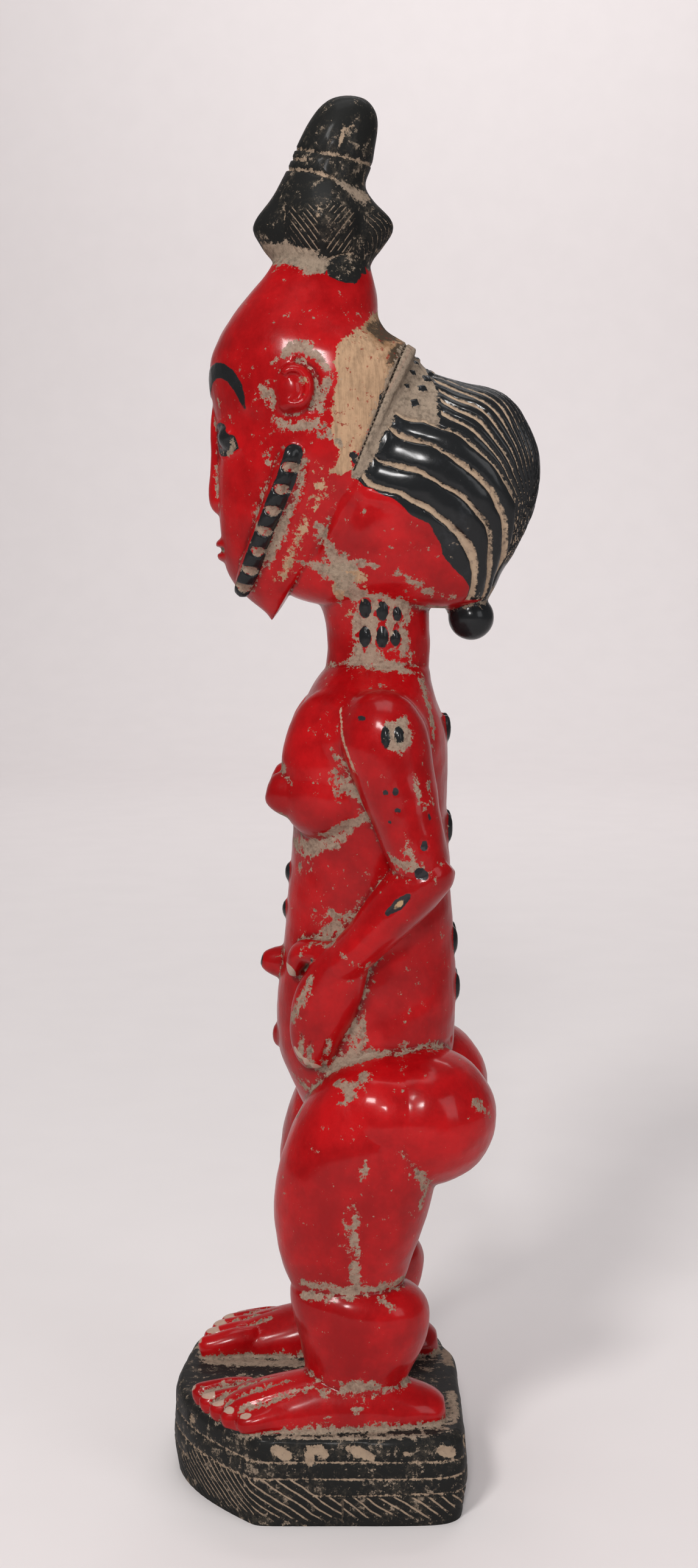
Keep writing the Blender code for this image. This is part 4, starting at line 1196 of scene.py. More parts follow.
def hollows(mesh, rounds):
    """How far each vertex lies below the average of its surroundings, in millimetres."""
    co = in_rows(mesh.vertices, "co")
    out = in_rows(mesh.vertex_normals, "vector")
    ends = np.empty(len(mesh.edges) * 2, np.int64)
    mesh.edges.foreach_get("vertices", ends)
    one, two = ends.reshape(-1, 2).T
    count = np.maximum(np.bincount(np.concatenate((one, two)), minlength=len(co)), 1)
    smooth = co.copy()
    for _ in range(rounds):
        total = np.zeros_like(smooth)
        for axis in range(3):
            total[:, axis] = np.bincount(one, smooth[two, axis], len(co))
            total[:, axis] += np.bincount(two, smooth[one, axis], len(co))
        smooth = total / count[:, None]
    return ((smooth - co) * out).sum(axis=1)


def paint(surface, hollow):
    """Every paint's field over the surface, in millimetres where it is a depth."""
    x, y, z, left = surface.x, surface.y, surface.z, surface.left
    a, b = surface.a, surface.b
    turn, place, per_turn, per_round = surface.hair
    zone = surface.hair_zone()
    facing = eased(surface.outward, -0.35, 0.0)

    red_at = np.interp(turn, *RED_EDGE)
    above_red = (place - red_at) * per_round
    inside_start = (BRAID_TURN - turn) * per_turn
    hair_black = np.minimum(above_red, np.minimum(inside_start + 5, zone))
    knot = HAIR_KNOT_HALF + 1.0 - np.sqrt(x**2 + (y - HAIR_KNOT[0]) ** 2 + (z - HAIR_KNOT[1]) ** 2)
    knot = np.minimum(knot, (y - 41.5) * 0.8 + (290.5 - z) * 0.1)
    hair_black = np.maximum(hair_black, knot)
    studs = np.full(x.shape, FAR)
    for *middle, half in STUDS:
        depth = half + 0.3 - stud_gap(surface, *middle)
        studs = np.maximum(studs, np.minimum(depth, zone + 1))
    top_black = np.where(z > 380, -line_gap(a, b, TOPKNOT_EDGE[::-1]), FAR)
    top_black = top_black + 0.9 * waver(x, y, z, 2.4, 41) + 0.8 * waver(x, y, z * 0.3, 1.6, 42)
    eye = eye_depth(left, y, z)
    band = np.minimum(strokes(left, y, z, [BAND]), -notches(surface) + 0.1)
    scars = eggs(left, y, z, NECK_SCARS + ARM_SCARS + BACK_SCARS + BELLY_SCARS + [NAVEL])
    base_black = np.where(z < BASE_TOP + 0.6, (BASE_TOP + 0.5 - z) * 2, FAR)
    spots = strokes(left, y, z, BLACK_SPOTS)
    black = np.maximum.reduce([
        hair_black, studs, top_black, eye, strokes(left, y, z, [BROW]), band, scars + 0.25,
        base_black, spots,
    ])

    raw = np.minimum(within(a, b, RAW_BAND), np.where(y > 0, 3.0, FAR))
    raw = np.where((z > 320) & (z < 385), raw, FAR)
    raw = np.minimum(raw, 0.5 - spots * 3.0)
    stain = np.full(x.shape, FAR)
    for at_a, at_b, wide in STAINS:
        stain = np.maximum(stain, wide - np.hypot(a - at_a, b - at_b))
    pale = strokes(left, y, z, PALE)

    behind = np.where(surface.groove("A") > 0, comb_end(place), BRAID_TURN)
    strip = np.minimum((turn - behind) * per_turn, (CRACK_TURN + 0.4 - turn) * per_turn + 0.5)
    strip = np.minimum(strip, (place + 2.0) * per_round)
    dust = strokes(left, y, z, DUST)
    dust = np.where(surface.outward < -0.35, np.minimum(dust, 0.2), dust)
    dust = np.maximum(dust, np.minimum(strip, 2.0))
    patches = np.maximum(within(a, b, NECK_PATCH), within(a, b, ARM_PATCH))
    patches = np.where(facing > 0.5, patches, FAR)
    dust = np.maximum(dust, np.where((z > 235) & (z < 292), patches, FAR) + 0.8)
    dust = np.maximum(dust, notches(surface) + 0.35)
    sole = np.minimum(1.1 - np.abs(z - BASE_TOP - 0.9) * 0.9, hollow * 3.0 - 0.6)
    dust = np.maximum(dust, np.where(np.abs(z - BASE_TOP) < 5, sole, FAR))
    on_top = np.where(np.abs(z - BASE_TOP) < 0.8, strokes(left, y, z, TOP_DUST), FAR)
    dust = np.maximum(dust, on_top)
    clefts = np.maximum(toe_clefts(surface), strokes(left, y, z, FINGER_CLEFTS))
    dust = np.maximum(dust, clefts + 0.25)
    in_ear = eggs(left, y, z, [IN_EAR])
    hollow = np.where(in_ear > -0.6, np.minimum(hollow, 0.15), hollow)
    dust = np.maximum(dust, (hollow - 0.5) * 2.2)
    marked = np.maximum.reduce([studs, band, eggs(left, y, z, ARM_SCARS) + 0.25])
    dust = np.minimum(dust, 0.8 - marked * 4.0)
    rims = eggs(left, y, z, NECK_SCARS) + 0.3 + 0.3 * waver(x, y, z, 4.0, 21)
    dust = np.minimum(dust, -rims * 6.0)
    ring = np.where((z > 384) & (facing > 0.3), within(a, b, TOPKNOT_RING), FAR)
    around_stem = np.where((z > 384) & (facing <= 0.3), 2.2 - np.abs(z - 392.4), FAR)
    dust = np.maximum(dust, np.maximum(ring, around_stem) + 0.2)
    wear = strokes(left, y, z, TOPKNOT_WEAR + KNOT_MARKS)
    wear = np.maximum(wear, strokes(x, y, z, BASE_CHIPS) + 0.45)
    scratch = np.where(facing > 0.5, 0.35 - np.abs(line_gap(a, b, SCRATCH)), FAR)
    scratch = np.where((z > 225) & (z < 262), scratch, FAR)

    toe_nails = [(tx, ty + 3.4, 30.9 + r * 1.02, r * 0.72, r * 0.98, 1.4)
                 for tx, ty, r in LEFT_TOES[1:] + RIGHT_TOES[1:]]
    toe_nails += [(tx, ty + 1.6, 30.6 + r * 0.8, r * 0.6, r * 0.7, 1.4)
                  for tx, ty, r in LEFT_TOES[:1] + RIGHT_TOES[:1]]
    nails = np.maximum(eggs(x, y, z, toe_nails) * 1.6 - 0.15, eggs(left, y, z, [THUMB_NAIL]))
    nails = np.maximum(nails, strokes(left, y, z, FINGER_NAILS))

    comb_phase, comb_on = comb(surface)
    chev_phase, chev_on = chevrons(surface)
    hatch_phase, hatch_on = hatching(surface)
    on_crown = z > TOPKNOT_LOW
    strand = np.where(z < FEET_HIGH, hatch_phase, np.where(on_crown, chev_phase, comb_phase))
    strand_on = np.where(z < FEET_HIGH, hatch_on, np.where(on_crown, chev_on, comb_on))
    crack = 0.3 - np.abs(turn - CRACK_TURN) * per_turn
    crack = np.minimum(crack, np.minimum(zone + 2.0, place * per_round + 0.5))
    return {
        "black": black,
        "raw": np.maximum.reduce([raw, pale * 0.5 - 0.2, strokes(left, y, z, NECK_PALE) + 0.3]),
        "dust": dust,
        "line": np.maximum.reduce([cut_lines(surface), scratch, wear]),
        "chip": strokes(x, y, z, CHIPS),
        "stain": stain,
        "weathered": np.maximum(eased(z, 384.0, 388.0), eased(BASE_TOP + 1.0 - z, 0.0, 1.0)),
        "wood_chip": strokes(x, y, z, WOOD_CHIPS),
        "nail": nails,
        "crack": crack,
        "strand": strand,
        "strand_on": strand_on,
        # how deep each place lies in a hollow, which the material darkens as painted shade
        "sunk": hollow,
    }


def eye_depth(left, y, z):
    """Depth inside the almond of the eye, in millimetres."""
    dx, dz = left - ALMOND[0], z - ALMOND[1]
    along = dx * math.cos(ALMOND_LEAN) + dz * math.sin(ALMOND_LEAN)
    up = -dx * math.sin(ALMOND_LEAN) + dz * math.cos(ALMOND_LEAN)
    depth = (1 - np.abs(along / ALMOND_HALF[0]) ** 2.4) * ALMOND_HALF[1] - np.abs(up)
    return np.where((y < -20) & (left > 2), depth, FAR)


# Making the mesh

# Places that are rasped smooth: an ellipsoid of centre and half widths, and how many rounds
RASPED = [((29.0, 20.0, 256.0, 22.0, 26.0, 15.0), 160)]

# Rounds of averaging that tell how deep a hollow is, and the most that a kept number may be
HOLLOW_ROUNDS = 26
KEPT_WITHIN = 200.0


def add_form(bm, form, *drawn):
    """Makes one form on its own, which is quicker, and puts it with the rest."""
    alone = bmesh.new()
    form(alone, *drawn)
    mesh = bpy.data.meshes.new("form")
    alone.to_mesh(mesh)
    alone.free()
    bm.from_mesh(mesh)
    bpy.data.meshes.remove(mesh)


def rough_out(name):
    """All the forms in one mesh, in the drawing's millimetres, the paired ones on both sides."""
    bm = bmesh.new()
    for form in (foot, leg, hip, chest, arm, hand, cheek):
        add_form(bm, form)
    whole = bm.verts[:] + bm.edges[:] + bm.faces[:]
    bmesh.ops.mirror(bm, geom=whole, matrix=Matrix.Identity(4), merge_dist=0.0, axis="X")
    for form in (base_block, trunk, neck, face_mask, features, hair_mass, topknot):
        add_form(bm, form)
    add_form(bm, toes, LEFT_TOES)
    add_form(bm, toes, RIGHT_TOES)
    bmesh.ops.recalc_face_normals(bm, faces=bm.faces)
    mesh = bpy.data.meshes.new(name)
    bm.to_mesh(mesh)
    bm.free()
    return mesh


def finished(block, settings, work=None):
    """The mesh that a block becomes under these modifiers, each a kind and its settings. They
    are put on work, where an object of the block has been made already."""
    work = work or bpy.data.objects.new("at_work", block)
    bpy.context.scene.collection.objects.link(work)
    for kind, values in settings:
        modifier = work.modifiers.new(kind.lower(), kind)
        for key, value in values.items():
            setattr(modifier, key, value)
    bpy.context.view_layer.update()
    seen = work.evaluated_get(bpy.context.evaluated_depsgraph_get())
    mesh = bpy.data.meshes.new_from_object(seen)
    bpy.data.objects.remove(work)
    bpy.data.meshes.remove(block)
    return mesh


def fused(grain):
    """The forms fused into one block with the rough steps smoothed away."""
    return finished(rough_out("block"), [
        ("REMESH", {"mode": "VOXEL", "voxel_size": grain, "use_smooth_shade": True}),
        ("SMOOTH", {"factor": 0.5, "iterations": 4}),
    ])


def blended(mesh):
    """Runs each of these places over with a rasp, so that its forms flow into each other."""
    surface = Surface(mesh)
    for shape, rounds in RASPED:
        share = eased(eggs(surface.left, surface.y, surface.z, [shape]), 0.0, 4.0)
        near = np.nonzero(share > 0.01)[0].tolist()
        bench = bpy.data.objects.new("bench", mesh)
        group = bench.vertex_groups.new(name="rasped")
        for index in near:
            group.add([index], float(share[index]), "REPLACE")
        mesh = finished(mesh, [
            ("SMOOTH", {"factor": 0.5, "iterations": rounds, "vertex_group": "rasped"}),
        ], bench)
    return mesh


def cut_relief(mesh):
    """Carves the fused block, and returns where its points are and how deep each is sunk."""
    surface = Surface(mesh)
    carved = surface.co + surface.out * carve(surface)[:, None]
    mesh.vertices.foreach_set("co", carved.ravel())
    mesh.update()
    return carved, hollows(mesh, HOLLOW_ROUNDS)


def trimmed(mesh):
    """Cuts the underside flat at the floor and closes it."""
    bm = bmesh.new()
    bm.from_mesh(mesh)
    cut = bmesh.ops.bisect_plane(
        bm, geom=bm.verts[:] + bm.edges[:] + bm.faces[:], dist=1e-4, plane_co=(0, 0, 0),
        plane_no=(0, 0, -1), clear_outer=True,
    )
    rim = [item for item in cut["geom_cut"] if isinstance(item, bmesh.types.BMEdge)]
    bmesh.ops.holes_fill(bm, edges=rim, sides=0)
    bmesh.ops.triangulate(bm, faces=[f for f in bm.faces if len(f.verts) > 3])
    bmesh.ops.recalc_face_normals(bm, faces=bm.faces)
    for face in bm.faces:
        face.smooth = face.normal.z > -0.99 or face.calc_center_median().z > 0.01
    for edge in bm.edges:
        edge.smooth = all(face.smooth for face in edge.link_faces)
    bm.to_mesh(mesh)
    bm.free()


def carried(points, values, places):
    """The value of the nearest of many points, for every place."""
    tree = KDTree(len(points))
    for n, point in enumerate(points):
        tree.insert(point, n)
    tree.balance()
    return values[[tree.find(place)[1] for place in places]]


def carved_figure(size):
    """The whole figure as one mesh in metres, with its paints as attributes."""
    mesh = blended(fused(size.grain * 1000))
    points, sunk = cut_relief(mesh)
    mesh.calc_loop_triangles()
    share = size.triangles / len(mesh.loop_triangles)
    mesh = finished(mesh, [("DECIMATE", {"ratio": min(share, 1.0)})])
    trimmed(mesh)
    surface = Surface(mesh)
    hollow = carried(points[::2], sunk[::2], surface.co)
    for name, values in paint(surface, hollow).items():
        layer = mesh.attributes.new(name, "FLOAT", "POINT")
        kept = np.clip(values, -KEPT_WITHIN, KEPT_WITHIN)
        layer.data.foreach_set("value", kept.astype(np.float32))
    mesh.transform(Matrix.Translation((0, 0, FIGURE_LOW.z)) @ Matrix.Scale(MM, 4))
    return mesh


# Materials

# What shows under, on and beside the paints that a user would change, as red, green, blue and 1
# Painted shade: the red in the deepest hollows
HOLLOW_SHADE_RED = (0.05, 0.006, 0.006, 1.0)
RUBBED_RED = (0.30, 0.075, 0.05, 1.0)
LEFTOVER_RED = (0.24, 0.03, 0.02, 1.0)
# Painted sheen: a lighter bluish black on the gloss black paint
BLUISH_SHEEN_BLACK = (0.028, 0.03, 0.034, 1.0)
OLD_BLACK = (0.014, 0.014, 0.013, 1.0)
GREYED_BLACK = (0.05, 0.042, 0.032, 1.0)
CHIPPED_RED = (0.022, 0.02, 0.023, 1.0)
DARK_WOOD = (0.27, 0.16, 0.09, 1.0)
STAINED_WOOD = (0.20, 0.10, 0.045, 1.0)
SOILED_WOOD = (0.03, 0.026, 0.02, 1.0)
FRESH_WOOD = (0.42, 0.27, 0.15, 1.0)
PALE_DUST = (0.44, 0.35, 0.26, 1.0)
CHALK = (0.46, 0.34, 0.24, 1.0)
DULL_CHALK = (0.20, 0.15, 0.12, 1.0)
NAIL = (0.46, 0.36, 0.28, 1.0)
# The crack's line: partly the joint's own dark, partly painted shade in it
DARK_JOINT_AND_SHADE = (0.01, 0.007, 0.006, 1.0)


def shaded(colour, *shares):
    """A colour as red, green, blue and 1, each of the three times its share or the only one."""
    shares = shares * 3 if len(shares) == 1 else shares
    return tuple(share * part for share, part in zip(shares, colour)) + (1.0,)


class Field:
    """A value over the surface. Each sum written with it adds a Math node."""

    def __init__(self, finish, socket):
        self.finish = finish
        self.socket = socket

    def __add__(self, other):
        return self.finish.maths("ADD", self, other)

    __radd__ = __add__

    def __sub__(self, other):
        return self.finish.maths("SUBTRACT", self, other)

    def __rsub__(self, other):
        return self.finish.maths("SUBTRACT", other, self)

    def __mul__(self, other):
        return self.finish.maths("MULTIPLY", self, other)

    __rmul__ = __mul__


class Finish:
    """A material being made."""

    def __init__(self, name):
        self.material = bpy.data.materials.new(name)
        self.material.use_nodes = True
        self.tree = self.material.node_tree
        self.shader = self.tree.nodes["Principled BSDF"]

    def node(self, kind, settings, inputs, output=0):
        """Adds a node with its settings made first, then the values or links of its sockets."""
        made = self.tree.nodes.new(kind)
        for name, value in settings.items():
            setattr(made, name, value)
        for name, value in inputs.items():
            self.give(made.inputs[name], value)
        return Field(self, made.outputs[output])

    def give(self, socket, value):
        """Links a value to a socket, or sets the socket where it is a plain number or colour."""
        if isinstance(value, Field):
            self.tree.links.new(value.socket, socket)
        else:
            socket.default_value = value

    def coat(self, values):
        """Gives the shader its values, by the names of its sockets."""
        for name, value in values.items():
            self.give(self.shader.inputs[name], value)

    def maths(self, operation, *values):
        """One sum of the Math node."""
        return self.node("ShaderNodeMath", {"operation": operation}, dict(enumerate(values)))

    def step(self, value, low, high):
        """0 where the value is below low, 1 above high, and a smooth rise between."""
        inputs = {"Value": value, "From Min": low, "From Max": high}
        return self.node("ShaderNodeMapRange", {"interpolation_type": "SMOOTHSTEP"}, inputs)

    def spread(self, value, low, high, bottom, top):
        """The value stretched evenly from one range to another and held at its ends."""
        inputs = {"Value": value, "From Min": low, "From Max": high, "To Min": bottom,
                  "To Max": top}
        return self.node("ShaderNodeMapRange", {"clamp": True}, inputs)

    def over(self, under, top, mask):
        """A colour laid over another where the mask is 1."""
        return self.node("ShaderNodeMix", {"data_type": "RGBA"}, {0: mask, 6: under, 7: top}, 2)

    def swap(self, under, top, mask):
        """A number changed to another where the mask is 1."""
        return self.node("ShaderNodeMix", {"data_type": "FLOAT"}, {0: mask, 2: under, 3: top})

    def noise(self, place, scale, detail=3.0, rough=0.55, shift=0.0):
        """Smooth noise about 0, in features of 1 / scale millimetres."""
        settings = {"noise_dimensions": "4D"}
        inputs = {"Vector": place, "W": shift, "Scale": scale, "Detail": detail,
                  "Roughness": rough}
        return self.node("ShaderNodeTexNoise", settings, inputs) - 0.5

    def read(self, name):
        """A number kept at the mesh's points."""
        return self.node("ShaderNodeAttribute", {"attribute_name": name}, {}, "Fac")

    def placed(self, stretch):
        """Places on the object in millimetres, squeezed along each axis by these shares."""
        place = self.node("ShaderNodeTexCoord", {}, {}, "Object")
        scale = tuple(1000.0 * share for share in stretch)
        return self.node("ShaderNodeMapping", {}, {"Vector": place, "Scale": scale})

    def bumped(self, height, strength, distance):
        """Normals that lean as if the surface rose and fell by this height."""
        inputs = {"Height": height, "Strength": strength, "Distance": distance}
        return self.node("ShaderNodeBump", {}, inputs)


def painted_wood(paints):
    """Old gloss red and black oil paint over pale wood: worn and dusty in its hollows, with
    painted shade in the hollows and a painted sheen on the black.
    """
    f = Finish("painted_wood")
    place = f.placed((1, 1, 1))
    fibre = f.placed((1.0, 1.0, 0.12))
    broad = f.noise(place, 0.035, 4, 0.6, 1.0)
    patch = f.noise(place, 0.16, 4, 0.6, 2.0)
    fine = f.noise(place, 0.7, 4, 0.65, 3.0)
    grit = f.noise(place, 2.4, 2, 0.6, 4.0)
    grain = f.noise(fibre, 0.9, 3, 0.6, 5.0)
    brush = f.noise(f.placed((1.0, 1.0, 0.3)), 0.35, 3, 0.6, 6.0)

    deep = shaded(paints.red, 0.62, 0.55, 0.6)
    bright = shaded(paints.red, 1.12, 1.5, 1.35)
    red = f.over(deep, bright, f.step(broad + patch * 0.5 + fine * 0.2, -0.22, 0.28))
    # Painted shade: the red darkened towards near black the deeper a place lies in a hollow
    sunk = f.read("sunk")
    red = f.over(red, HOLLOW_SHADE_RED, f.step(sunk + fine * 0.2, 0.12, 0.55) * 0.55)
    worn = f.step(f.noise(place, 0.3, 5, 0.7, 7.0) + grit * 0.25, 0.24, 0.34)
    red = f.over(red, RUBBED_RED, worn * 0.35)

    weathered = f.read("weathered")
    black = f.step(f.read("black") + fine * 0.7 + grit * 0.35, -0.12, 0.16)
    # Painted sheen: a lighter bluish black laid in patches over the black paint, which is greyed
    # where weathered
    black_paint_and_sheen = f.over(shaded(paints.black, 1.0), BLUISH_SHEEN_BLACK, f.step(patch + fine * 0.4, 0.0, 0.4))
    greyed = f.over(OLD_BLACK, GREYED_BLACK,
                    f.step(patch + fine * 0.8 + grit * 0.4, -0.02, 0.26))
    black_paint_and_sheen = f.over(black_paint_and_sheen, greyed, weathered * 0.75)
    colour = f.over(red, black_paint_and_sheen, black)

    speckled = f.noise(place, 0.42, 6, 0.72, 9.0)
    fibres = f.step(grain + fine * 0.5, -0.2, 0.25)
    wood = f.over(shaded(paints.wood, 1.0), shaded(paints.wood, 0.62), fibres)
    wood = f.over(wood, DARK_WOOD, f.step(patch + grain * 0.6, 0.12, 0.3) * 0.5)
    stain = f.step(f.read("stain") + patch * 9.0 + fine * 3.0, -0.5, 3.5)
    wood = f.over(wood, STAINED_WOOD, stain * 0.75)
    soiled = f.step(f.read("stain") + speckled * 9.0, 1.5, 2.6)
    wood = f.over(wood, SOILED_WOOD, soiled * 0.85)
    raw = f.step(f.read("raw") + fine * 3.0 + speckled * 5.0 + grit, -0.12, 0.16)
    colour = f.over(colour, wood, raw)
    red_left = raw * f.step(f.noise(place, 0.55, 4, 0.7, 8.0), 0.09, 0.14)
    colour = f.over(colour, LEFTOVER_RED, red_left * 0.85)

    flakes = f.noise(place, 0.75, 5, 0.75, 10.0)
    dust = f.step(f.read("dust") + patch * 2.5 + speckled * 7.5 + flakes * 5.0, -0.06, 0.26)
    flecks = f.step(flakes + speckled * 0.8 + patch * 0.7, 0.1, 0.17) * weathered * black
    powder = f.over(shaded(paints.dust, 1.0), shaded(paints.dust, 0.45),
                    f.step(fine + speckled * 0.8, -0.1, 0.3))
    powder = f.over(powder, PALE_DUST, f.step(flakes, 0.02, 0.2) * 0.6)
    dusty = f.maths("MAXIMUM", dust * f.spread(fine + grit, -0.4, 0.3, 1.0, 0.86), flecks * 0.7)
    colour = f.over(colour, powder, dusty)

    phase = f.maths("FRACT", f.read("strand"))
    valley = f.maths("ABSOLUTE", f.maths("WRAP", phase + 0.5, 0.0, 1.0) - 0.5)
    strand = f.step(0.17 - weathered * 0.06 + fine * 0.2 - valley, -0.03, 0.05)
    strand_on = f.read("strand_on") + speckled * (1.1 + weathered * 1.6) - weathered * 0.2
    strand = strand * f.step(strand_on, 0.25, 0.6)
    line = f.step(f.read("line") + fine * 0.9 + flakes * (1.0 + weathered * 2.0), -0.12, 0.16)
    marks = f.maths("MAXIMUM", strand, line)
    chalk = f.over(CHALK, DULL_CHALK, f.step(speckled, -0.02, 0.2))
    colour = f.over(colour, chalk, marks * (0.92 - weathered * 0.22))

    chip = f.step(f.read("chip") + fine * 1.0, -0.15, 0.1)
    colour = f.over(colour, CHIPPED_RED, chip)
    bare = f.step(f.read("wood_chip") + fine * 0.8, -0.15, 0.12)
    colour = f.over(colour, FRESH_WOOD, bare)
    nail = f.step(f.read("nail") + fine * 0.6, -0.1, 0.15)
    colour = f.over(colour, NAIL, nail * f.spread(fine, -0.2, 0.2, 0.95, 0.7))
    # The crack between face and hair: a near-black line, partly the joint's own dark and partly
    # painted shade
    crack = f.step(f.read("crack"), -0.15, 0.15)
    colour = f.over(colour, DARK_JOINT_AND_SHADE, crack)

    matt = f.maths("MAXIMUM", f.maths("MAXIMUM", raw, dusty), f.maths("MAXIMUM", marks, bare))
    gloss = f.spread(patch + fine * 0.5, -0.3, 0.3, 0.3, 0.44)
    rough = f.swap(f.swap(gloss, 0.24 + weathered * 0.3, black), 0.85, matt)
    varnish = 0.36 * (1.0 - matt) * (1.0 - weathered * 0.85)

    relief = brush * 0.6 + fine * 0.35 + grit * 0.12 + grain * raw * 1.2 + grit * dusty * 0.8
    f.coat({
        "Base Color": colour, "Roughness": rough, "Coat Weight": varnish,
        "Normal": f.bumped(relief, 0.5, 0.00045), "Metallic": 0.0, "Coat Roughness": 0.15,
        "IOR": 1.5, "Specular IOR Level": 0.06,
    })
    f.material.diffuse_color = (*paints.red, 1.0)
    return f.material


def paper(name, colour):
    """The matt pale ground, a touch darker in broad patches."""
    f = Finish(name)
    shade = f.step(f.noise(f.placed((0.02, 0.02, 0.02)), 1.0, 2, 0.5, 0.0), -0.2, 0.2)
    f.coat({
        "Base Color": f.over(shaded(colour, 1.0), shaded(colour, 0.985), shade),
        "Roughness": 0.95,
    })
    return f.material


# The settings that a user would change

class FigureShape(bpy.types.PropertyGroup):
    """How finely the figure is carved."""

    grain: bpy.props.FloatProperty(
        name="Grain",
        description="Size of the smallest steps in the wood before it is thinned",
        default=0.0006, min=0.0004, max=0.004, subtype="DISTANCE", unit="LENGTH", precision=4,
    )
    triangles: bpy.props.IntProperty(
        name="Triangles",
        description="Most triangles that the finished figure may have",
        default=192000, min=5000, max=198000,
    )


class FigurePaints(bpy.types.PropertyGroup):
    """The colours of the paints and of the wood."""

    red: bpy.props.FloatVectorProperty(
        name="Red", description="Gloss paint of the body", subtype="COLOR", size=3,
        default=(0.42, 0.003, 0.005), min=0.0, max=1.0,
    )
    black: bpy.props.FloatVectorProperty(
        name="Black", description="Paint of the hair, the marks and the base", subtype="COLOR",
        size=3, default=(0.012, 0.013, 0.014), min=0.0, max=1.0,
    )
    wood: bpy.props.FloatVectorProperty(
        name="Wood", description="Bare wood where paint has gone", subtype="COLOR", size=3,
        default=(0.46, 0.295, 0.18), min=0.0, max=1.0,
    )
    dust: bpy.props.FloatVectorProperty(
        name="Dust", description="Dust and worn paint in the hollows", subtype="COLOR", size=3,
        default=(0.31, 0.24, 0.18), min=0.0, max=1.0,
    )


class FigureStage(bpy.types.PropertyGroup):
    """The ground, the light and the camera."""

    ground: bpy.props.FloatVectorProperty(
        name="Ground", description="Colour of the ground and the wall behind", subtype="COLOR",
        size=3, default=(0.82, 0.78, 0.78), min=0.0, max=1.0,
    )
    light: bpy.props.FloatProperty(
        name="Light", description="Strength of all the lamps together", default=1.0, min=0.0,
        max=10.0,
    )


class FIGURE_OT_carve(bpy.types.Operator):
    """Carves the figure from one block and paints it"""

    bl_idname = "figure.carve"
    bl_label = "Carve and paint the figure"

    def execute(self, context):
        mesh = carved_figure(context.scene.figure_shape)
        mesh.materials.clear()
        mesh.materials.append(painted_wood(context.scene.figure_paints))
        figure = bpy.data.objects.new("spirit_spouse", mesh)
        context.scene.collection.objects.link(figure)
        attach(figure, "root")
        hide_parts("figure")
        return {"FINISHED"}


class FIGURE_OT_stage(bpy.types.Operator):
    """Sets the ground, the soft lamps and the camera"""

    bl_idname = "figure.stage"
    bl_label = "Set the stage"

    def execute(self, context):
        settings = context.scene.figure_stage
        sweep(settings.ground)
        for lamp in LAMPS:
            soft_lamp(settings.light, *lamp)
        world = bpy.data.worlds.new("studio")
        world.use_nodes = True
        sky = world.node_tree.nodes["Background"]
        sky.inputs["Color"].default_value = SKY_COLOUR
        sky.inputs["Strength"].default_value = SKY_STRENGTH
        context.scene.world = world
        context.scene.view_settings.view_transform = "Standard"
        camera()
        return {"FINISHED"}


# The sky's light, and the sheet in metres: half the floor's depth and width, the radius of the
# bend behind it and the height of the wall above that
SKY_COLOUR = (1.0, 0.97, 0.97, 1.0)
SKY_STRENGTH = 0.17
FLOOR_HALF = (2.2, 3.2)
BEND_RADIUS = 0.9
WALL_HEIGHT = 2.4


def sweep(colour):
    """The floor and the wall behind, one sheet with a wide bend between."""
    bm = bmesh.new()
    bmesh.ops.create_grid(bm, x_segments=1, y_segments=1, size=1.0)
    for vert in bm.verts:
        vert.co = Vector((FLOOR_HALF[0] * vert.co.x, FLOOR_HALF[1] * vert.co.y, 0.0))
    far = [e for e in bm.edges if all(v.co.x < 0 for v in e.verts)]
    turned = bmesh.ops.spin(
        bm, geom=far, cent=(-FLOOR_HALF[0], 0.0, BEND_RADIUS), axis=(0.0, 1.0, 0.0),
        angle=math.radians(90), steps=16, use_duplicate=False,
    )
    last = [e for e in turned["geom_last"] if isinstance(e, bmesh.types.BMEdge)]
    raised = bmesh.ops.extrude_edge_only(bm, edges=last)
    for vert in (v for v in raised["geom"] if isinstance(v, bmesh.types.BMVert)):
        vert.co.z += WALL_HEIGHT
    bmesh.ops.recalc_face_normals(bm, faces=bm.faces)
    bm.faces.ensure_lookup_table()
    if bm.faces[0].normal.z < 0:
        bmesh.ops.reverse_faces(bm, faces=bm.faces)
    for face in bm.faces:
        face.smooth = True
    mesh = bpy.data.meshes.new("studio_sweep")
    bm.to_mesh(mesh)
    bm.free()
    mesh.materials.append(paper("pale_ground", colour))
    ground = bpy.data.objects.new("studio_sweep", mesh)
    bpy.context.scene.collection.objects.link(ground)


# Each lamp: its name, its place and aim in metres, its width and height, its power and colour
LAMPS = [
    ("key", (1.3, -0.6, 1.4), (0.0, 0.0, 0.25), 0.3, 0.3, 16.0, (1.0, 0.98, 0.96)),
    ("front", (1.5, -0.1, 0.95), (0.0, 0.0, 0.25), 0.14, 0.2, 8.0, (1.0, 0.98, 0.97)),
    ("fill", (1.2, 1.3, 0.8), (0.0, 0.0, 0.22), 0.7, 0.9, 5.0, (0.97, 0.98, 1.0)),
    ("top", (0.0, 0.0, 1.9), (0.0, 0.0, 0.25), 0.9, 0.9, 7.0, (1.0, 1.0, 1.0)),
    ("wall", (-1.4, 0.3, 2.2), (-3.0, 0.3, 0.4), 1.6, 0.6, 32.0, (1.0, 0.97, 0.97)),
]


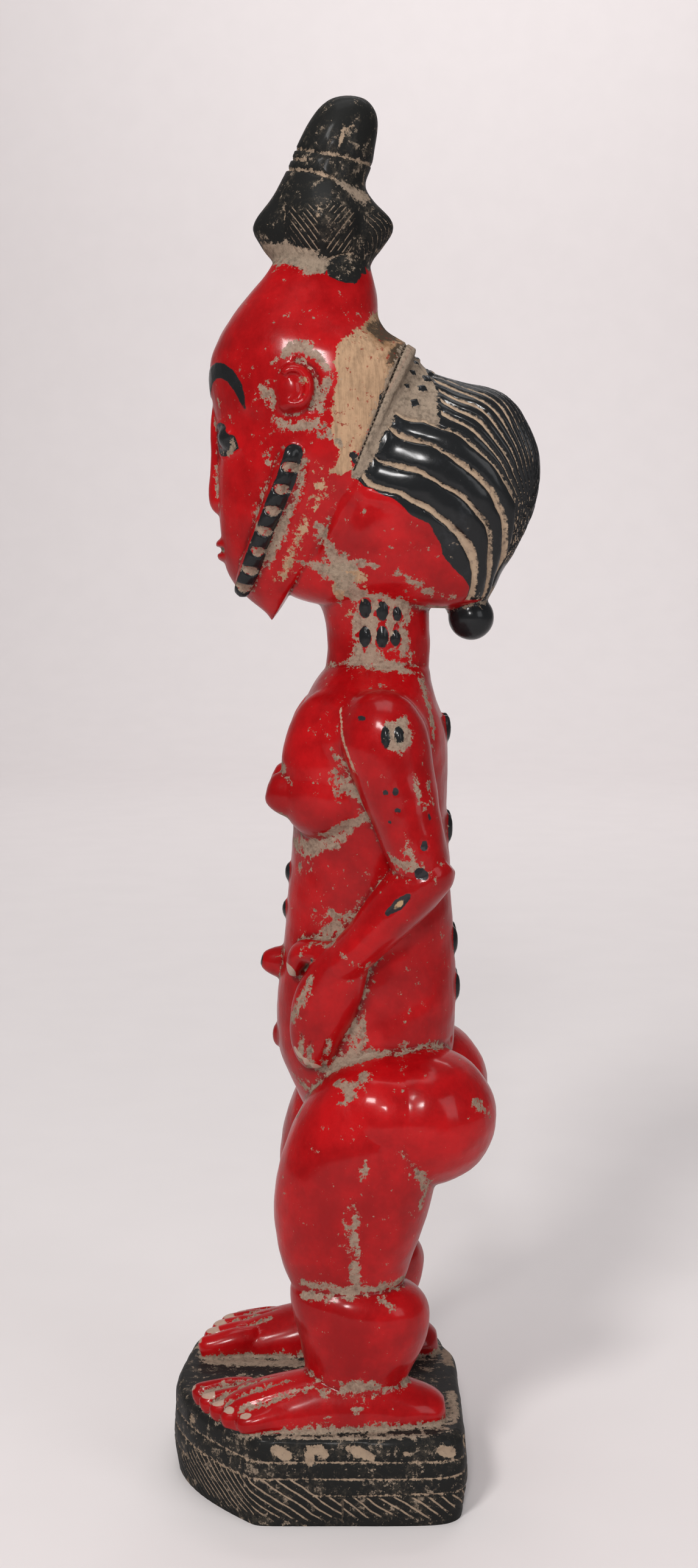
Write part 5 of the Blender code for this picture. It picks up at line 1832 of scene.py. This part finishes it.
def soft_lamp(strength, name, place, aim, width, height, power, colour):
    """An area lamp turned to what it lights."""
    light = bpy.data.lights.new(name, "AREA")
    light.shape = "RECTANGLE"
    light.size = width
    light.size_y = height
    light.energy = power * strength
    light.color = colour
    lamp = bpy.data.objects.new(name, light)
    lamp.location = place
    lamp.rotation_euler = (Vector(aim) - Vector(place)).to_track_quat("-Z", "Y").to_euler()
    bpy.context.scene.collection.objects.link(lamp)


def camera():
    """The camera at the photograph's place, looking a little down at her left side."""
    lens = bpy.data.cameras.new("camera")
    lens.sensor_fit = "VERTICAL"
    lens.sensor_height = SENSOR_HEIGHT
    lens.lens = SENSOR_HEIGHT * FOCAL_PIXELS / PICTURE_HEIGHT
    lens.clip_start = 0.01
    eye = bpy.data.objects.new("camera", lens)
    eye.location = Vector(EYE) * MM
    ahead = Vector((-math.cos(LOOK_DOWN), 0.0, -math.sin(LOOK_DOWN)))
    eye.rotation_euler = ahead.to_track_quat("-Z", "Y").to_euler()
    bpy.context.scene.collection.objects.link(eye)
    bpy.context.scene.camera = eye


class FIGURE_PT_panel(bpy.types.Panel):
    """Lists the steps and their settings"""

    bl_label = "Spirit spouse figure"
    bl_idname = "FIGURE_PT_panel"
    bl_space_type = "VIEW_3D"
    bl_region_type = "UI"
    bl_category = "Figure"

    def draw(self, context):
        for group, step in GROUPS:
            box = self.layout.box()
            settings = getattr(context.scene, group)
            for name in settings.__annotations__:
                box.prop(settings, name)
            if step:
                box.operator(step)


GROUPS = (
    ("figure_shape", None), ("figure_paints", "figure.carve"), ("figure_stage", "figure.stage"),
)
CLASSES = (
    FigureShape, FigurePaints, FigureStage, FIGURE_OT_carve, FIGURE_OT_stage, FIGURE_PT_panel,
)


def register():
    """Makes the settings, the steps and the panel known."""
    for each in CLASSES:
        bpy.utils.register_class(each)
    scene = bpy.types.Scene
    scene.figure_shape = bpy.props.PointerProperty(type=FigureShape)
    scene.figure_paints = bpy.props.PointerProperty(type=FigurePaints)
    scene.figure_stage = bpy.props.PointerProperty(type=FigureStage)


def unregister():
    for name in ("figure_stage", "figure_paints", "figure_shape"):
        delattr(bpy.types.Scene, name)
    for each in reversed(CLASSES):
        bpy.utils.unregister_class(each)


def main():
    """Builds the figure and its stage."""
    register()
    bpy.ops.figure.carve()
    bpy.ops.figure.stage()


if __name__ == "__main__":
    main()
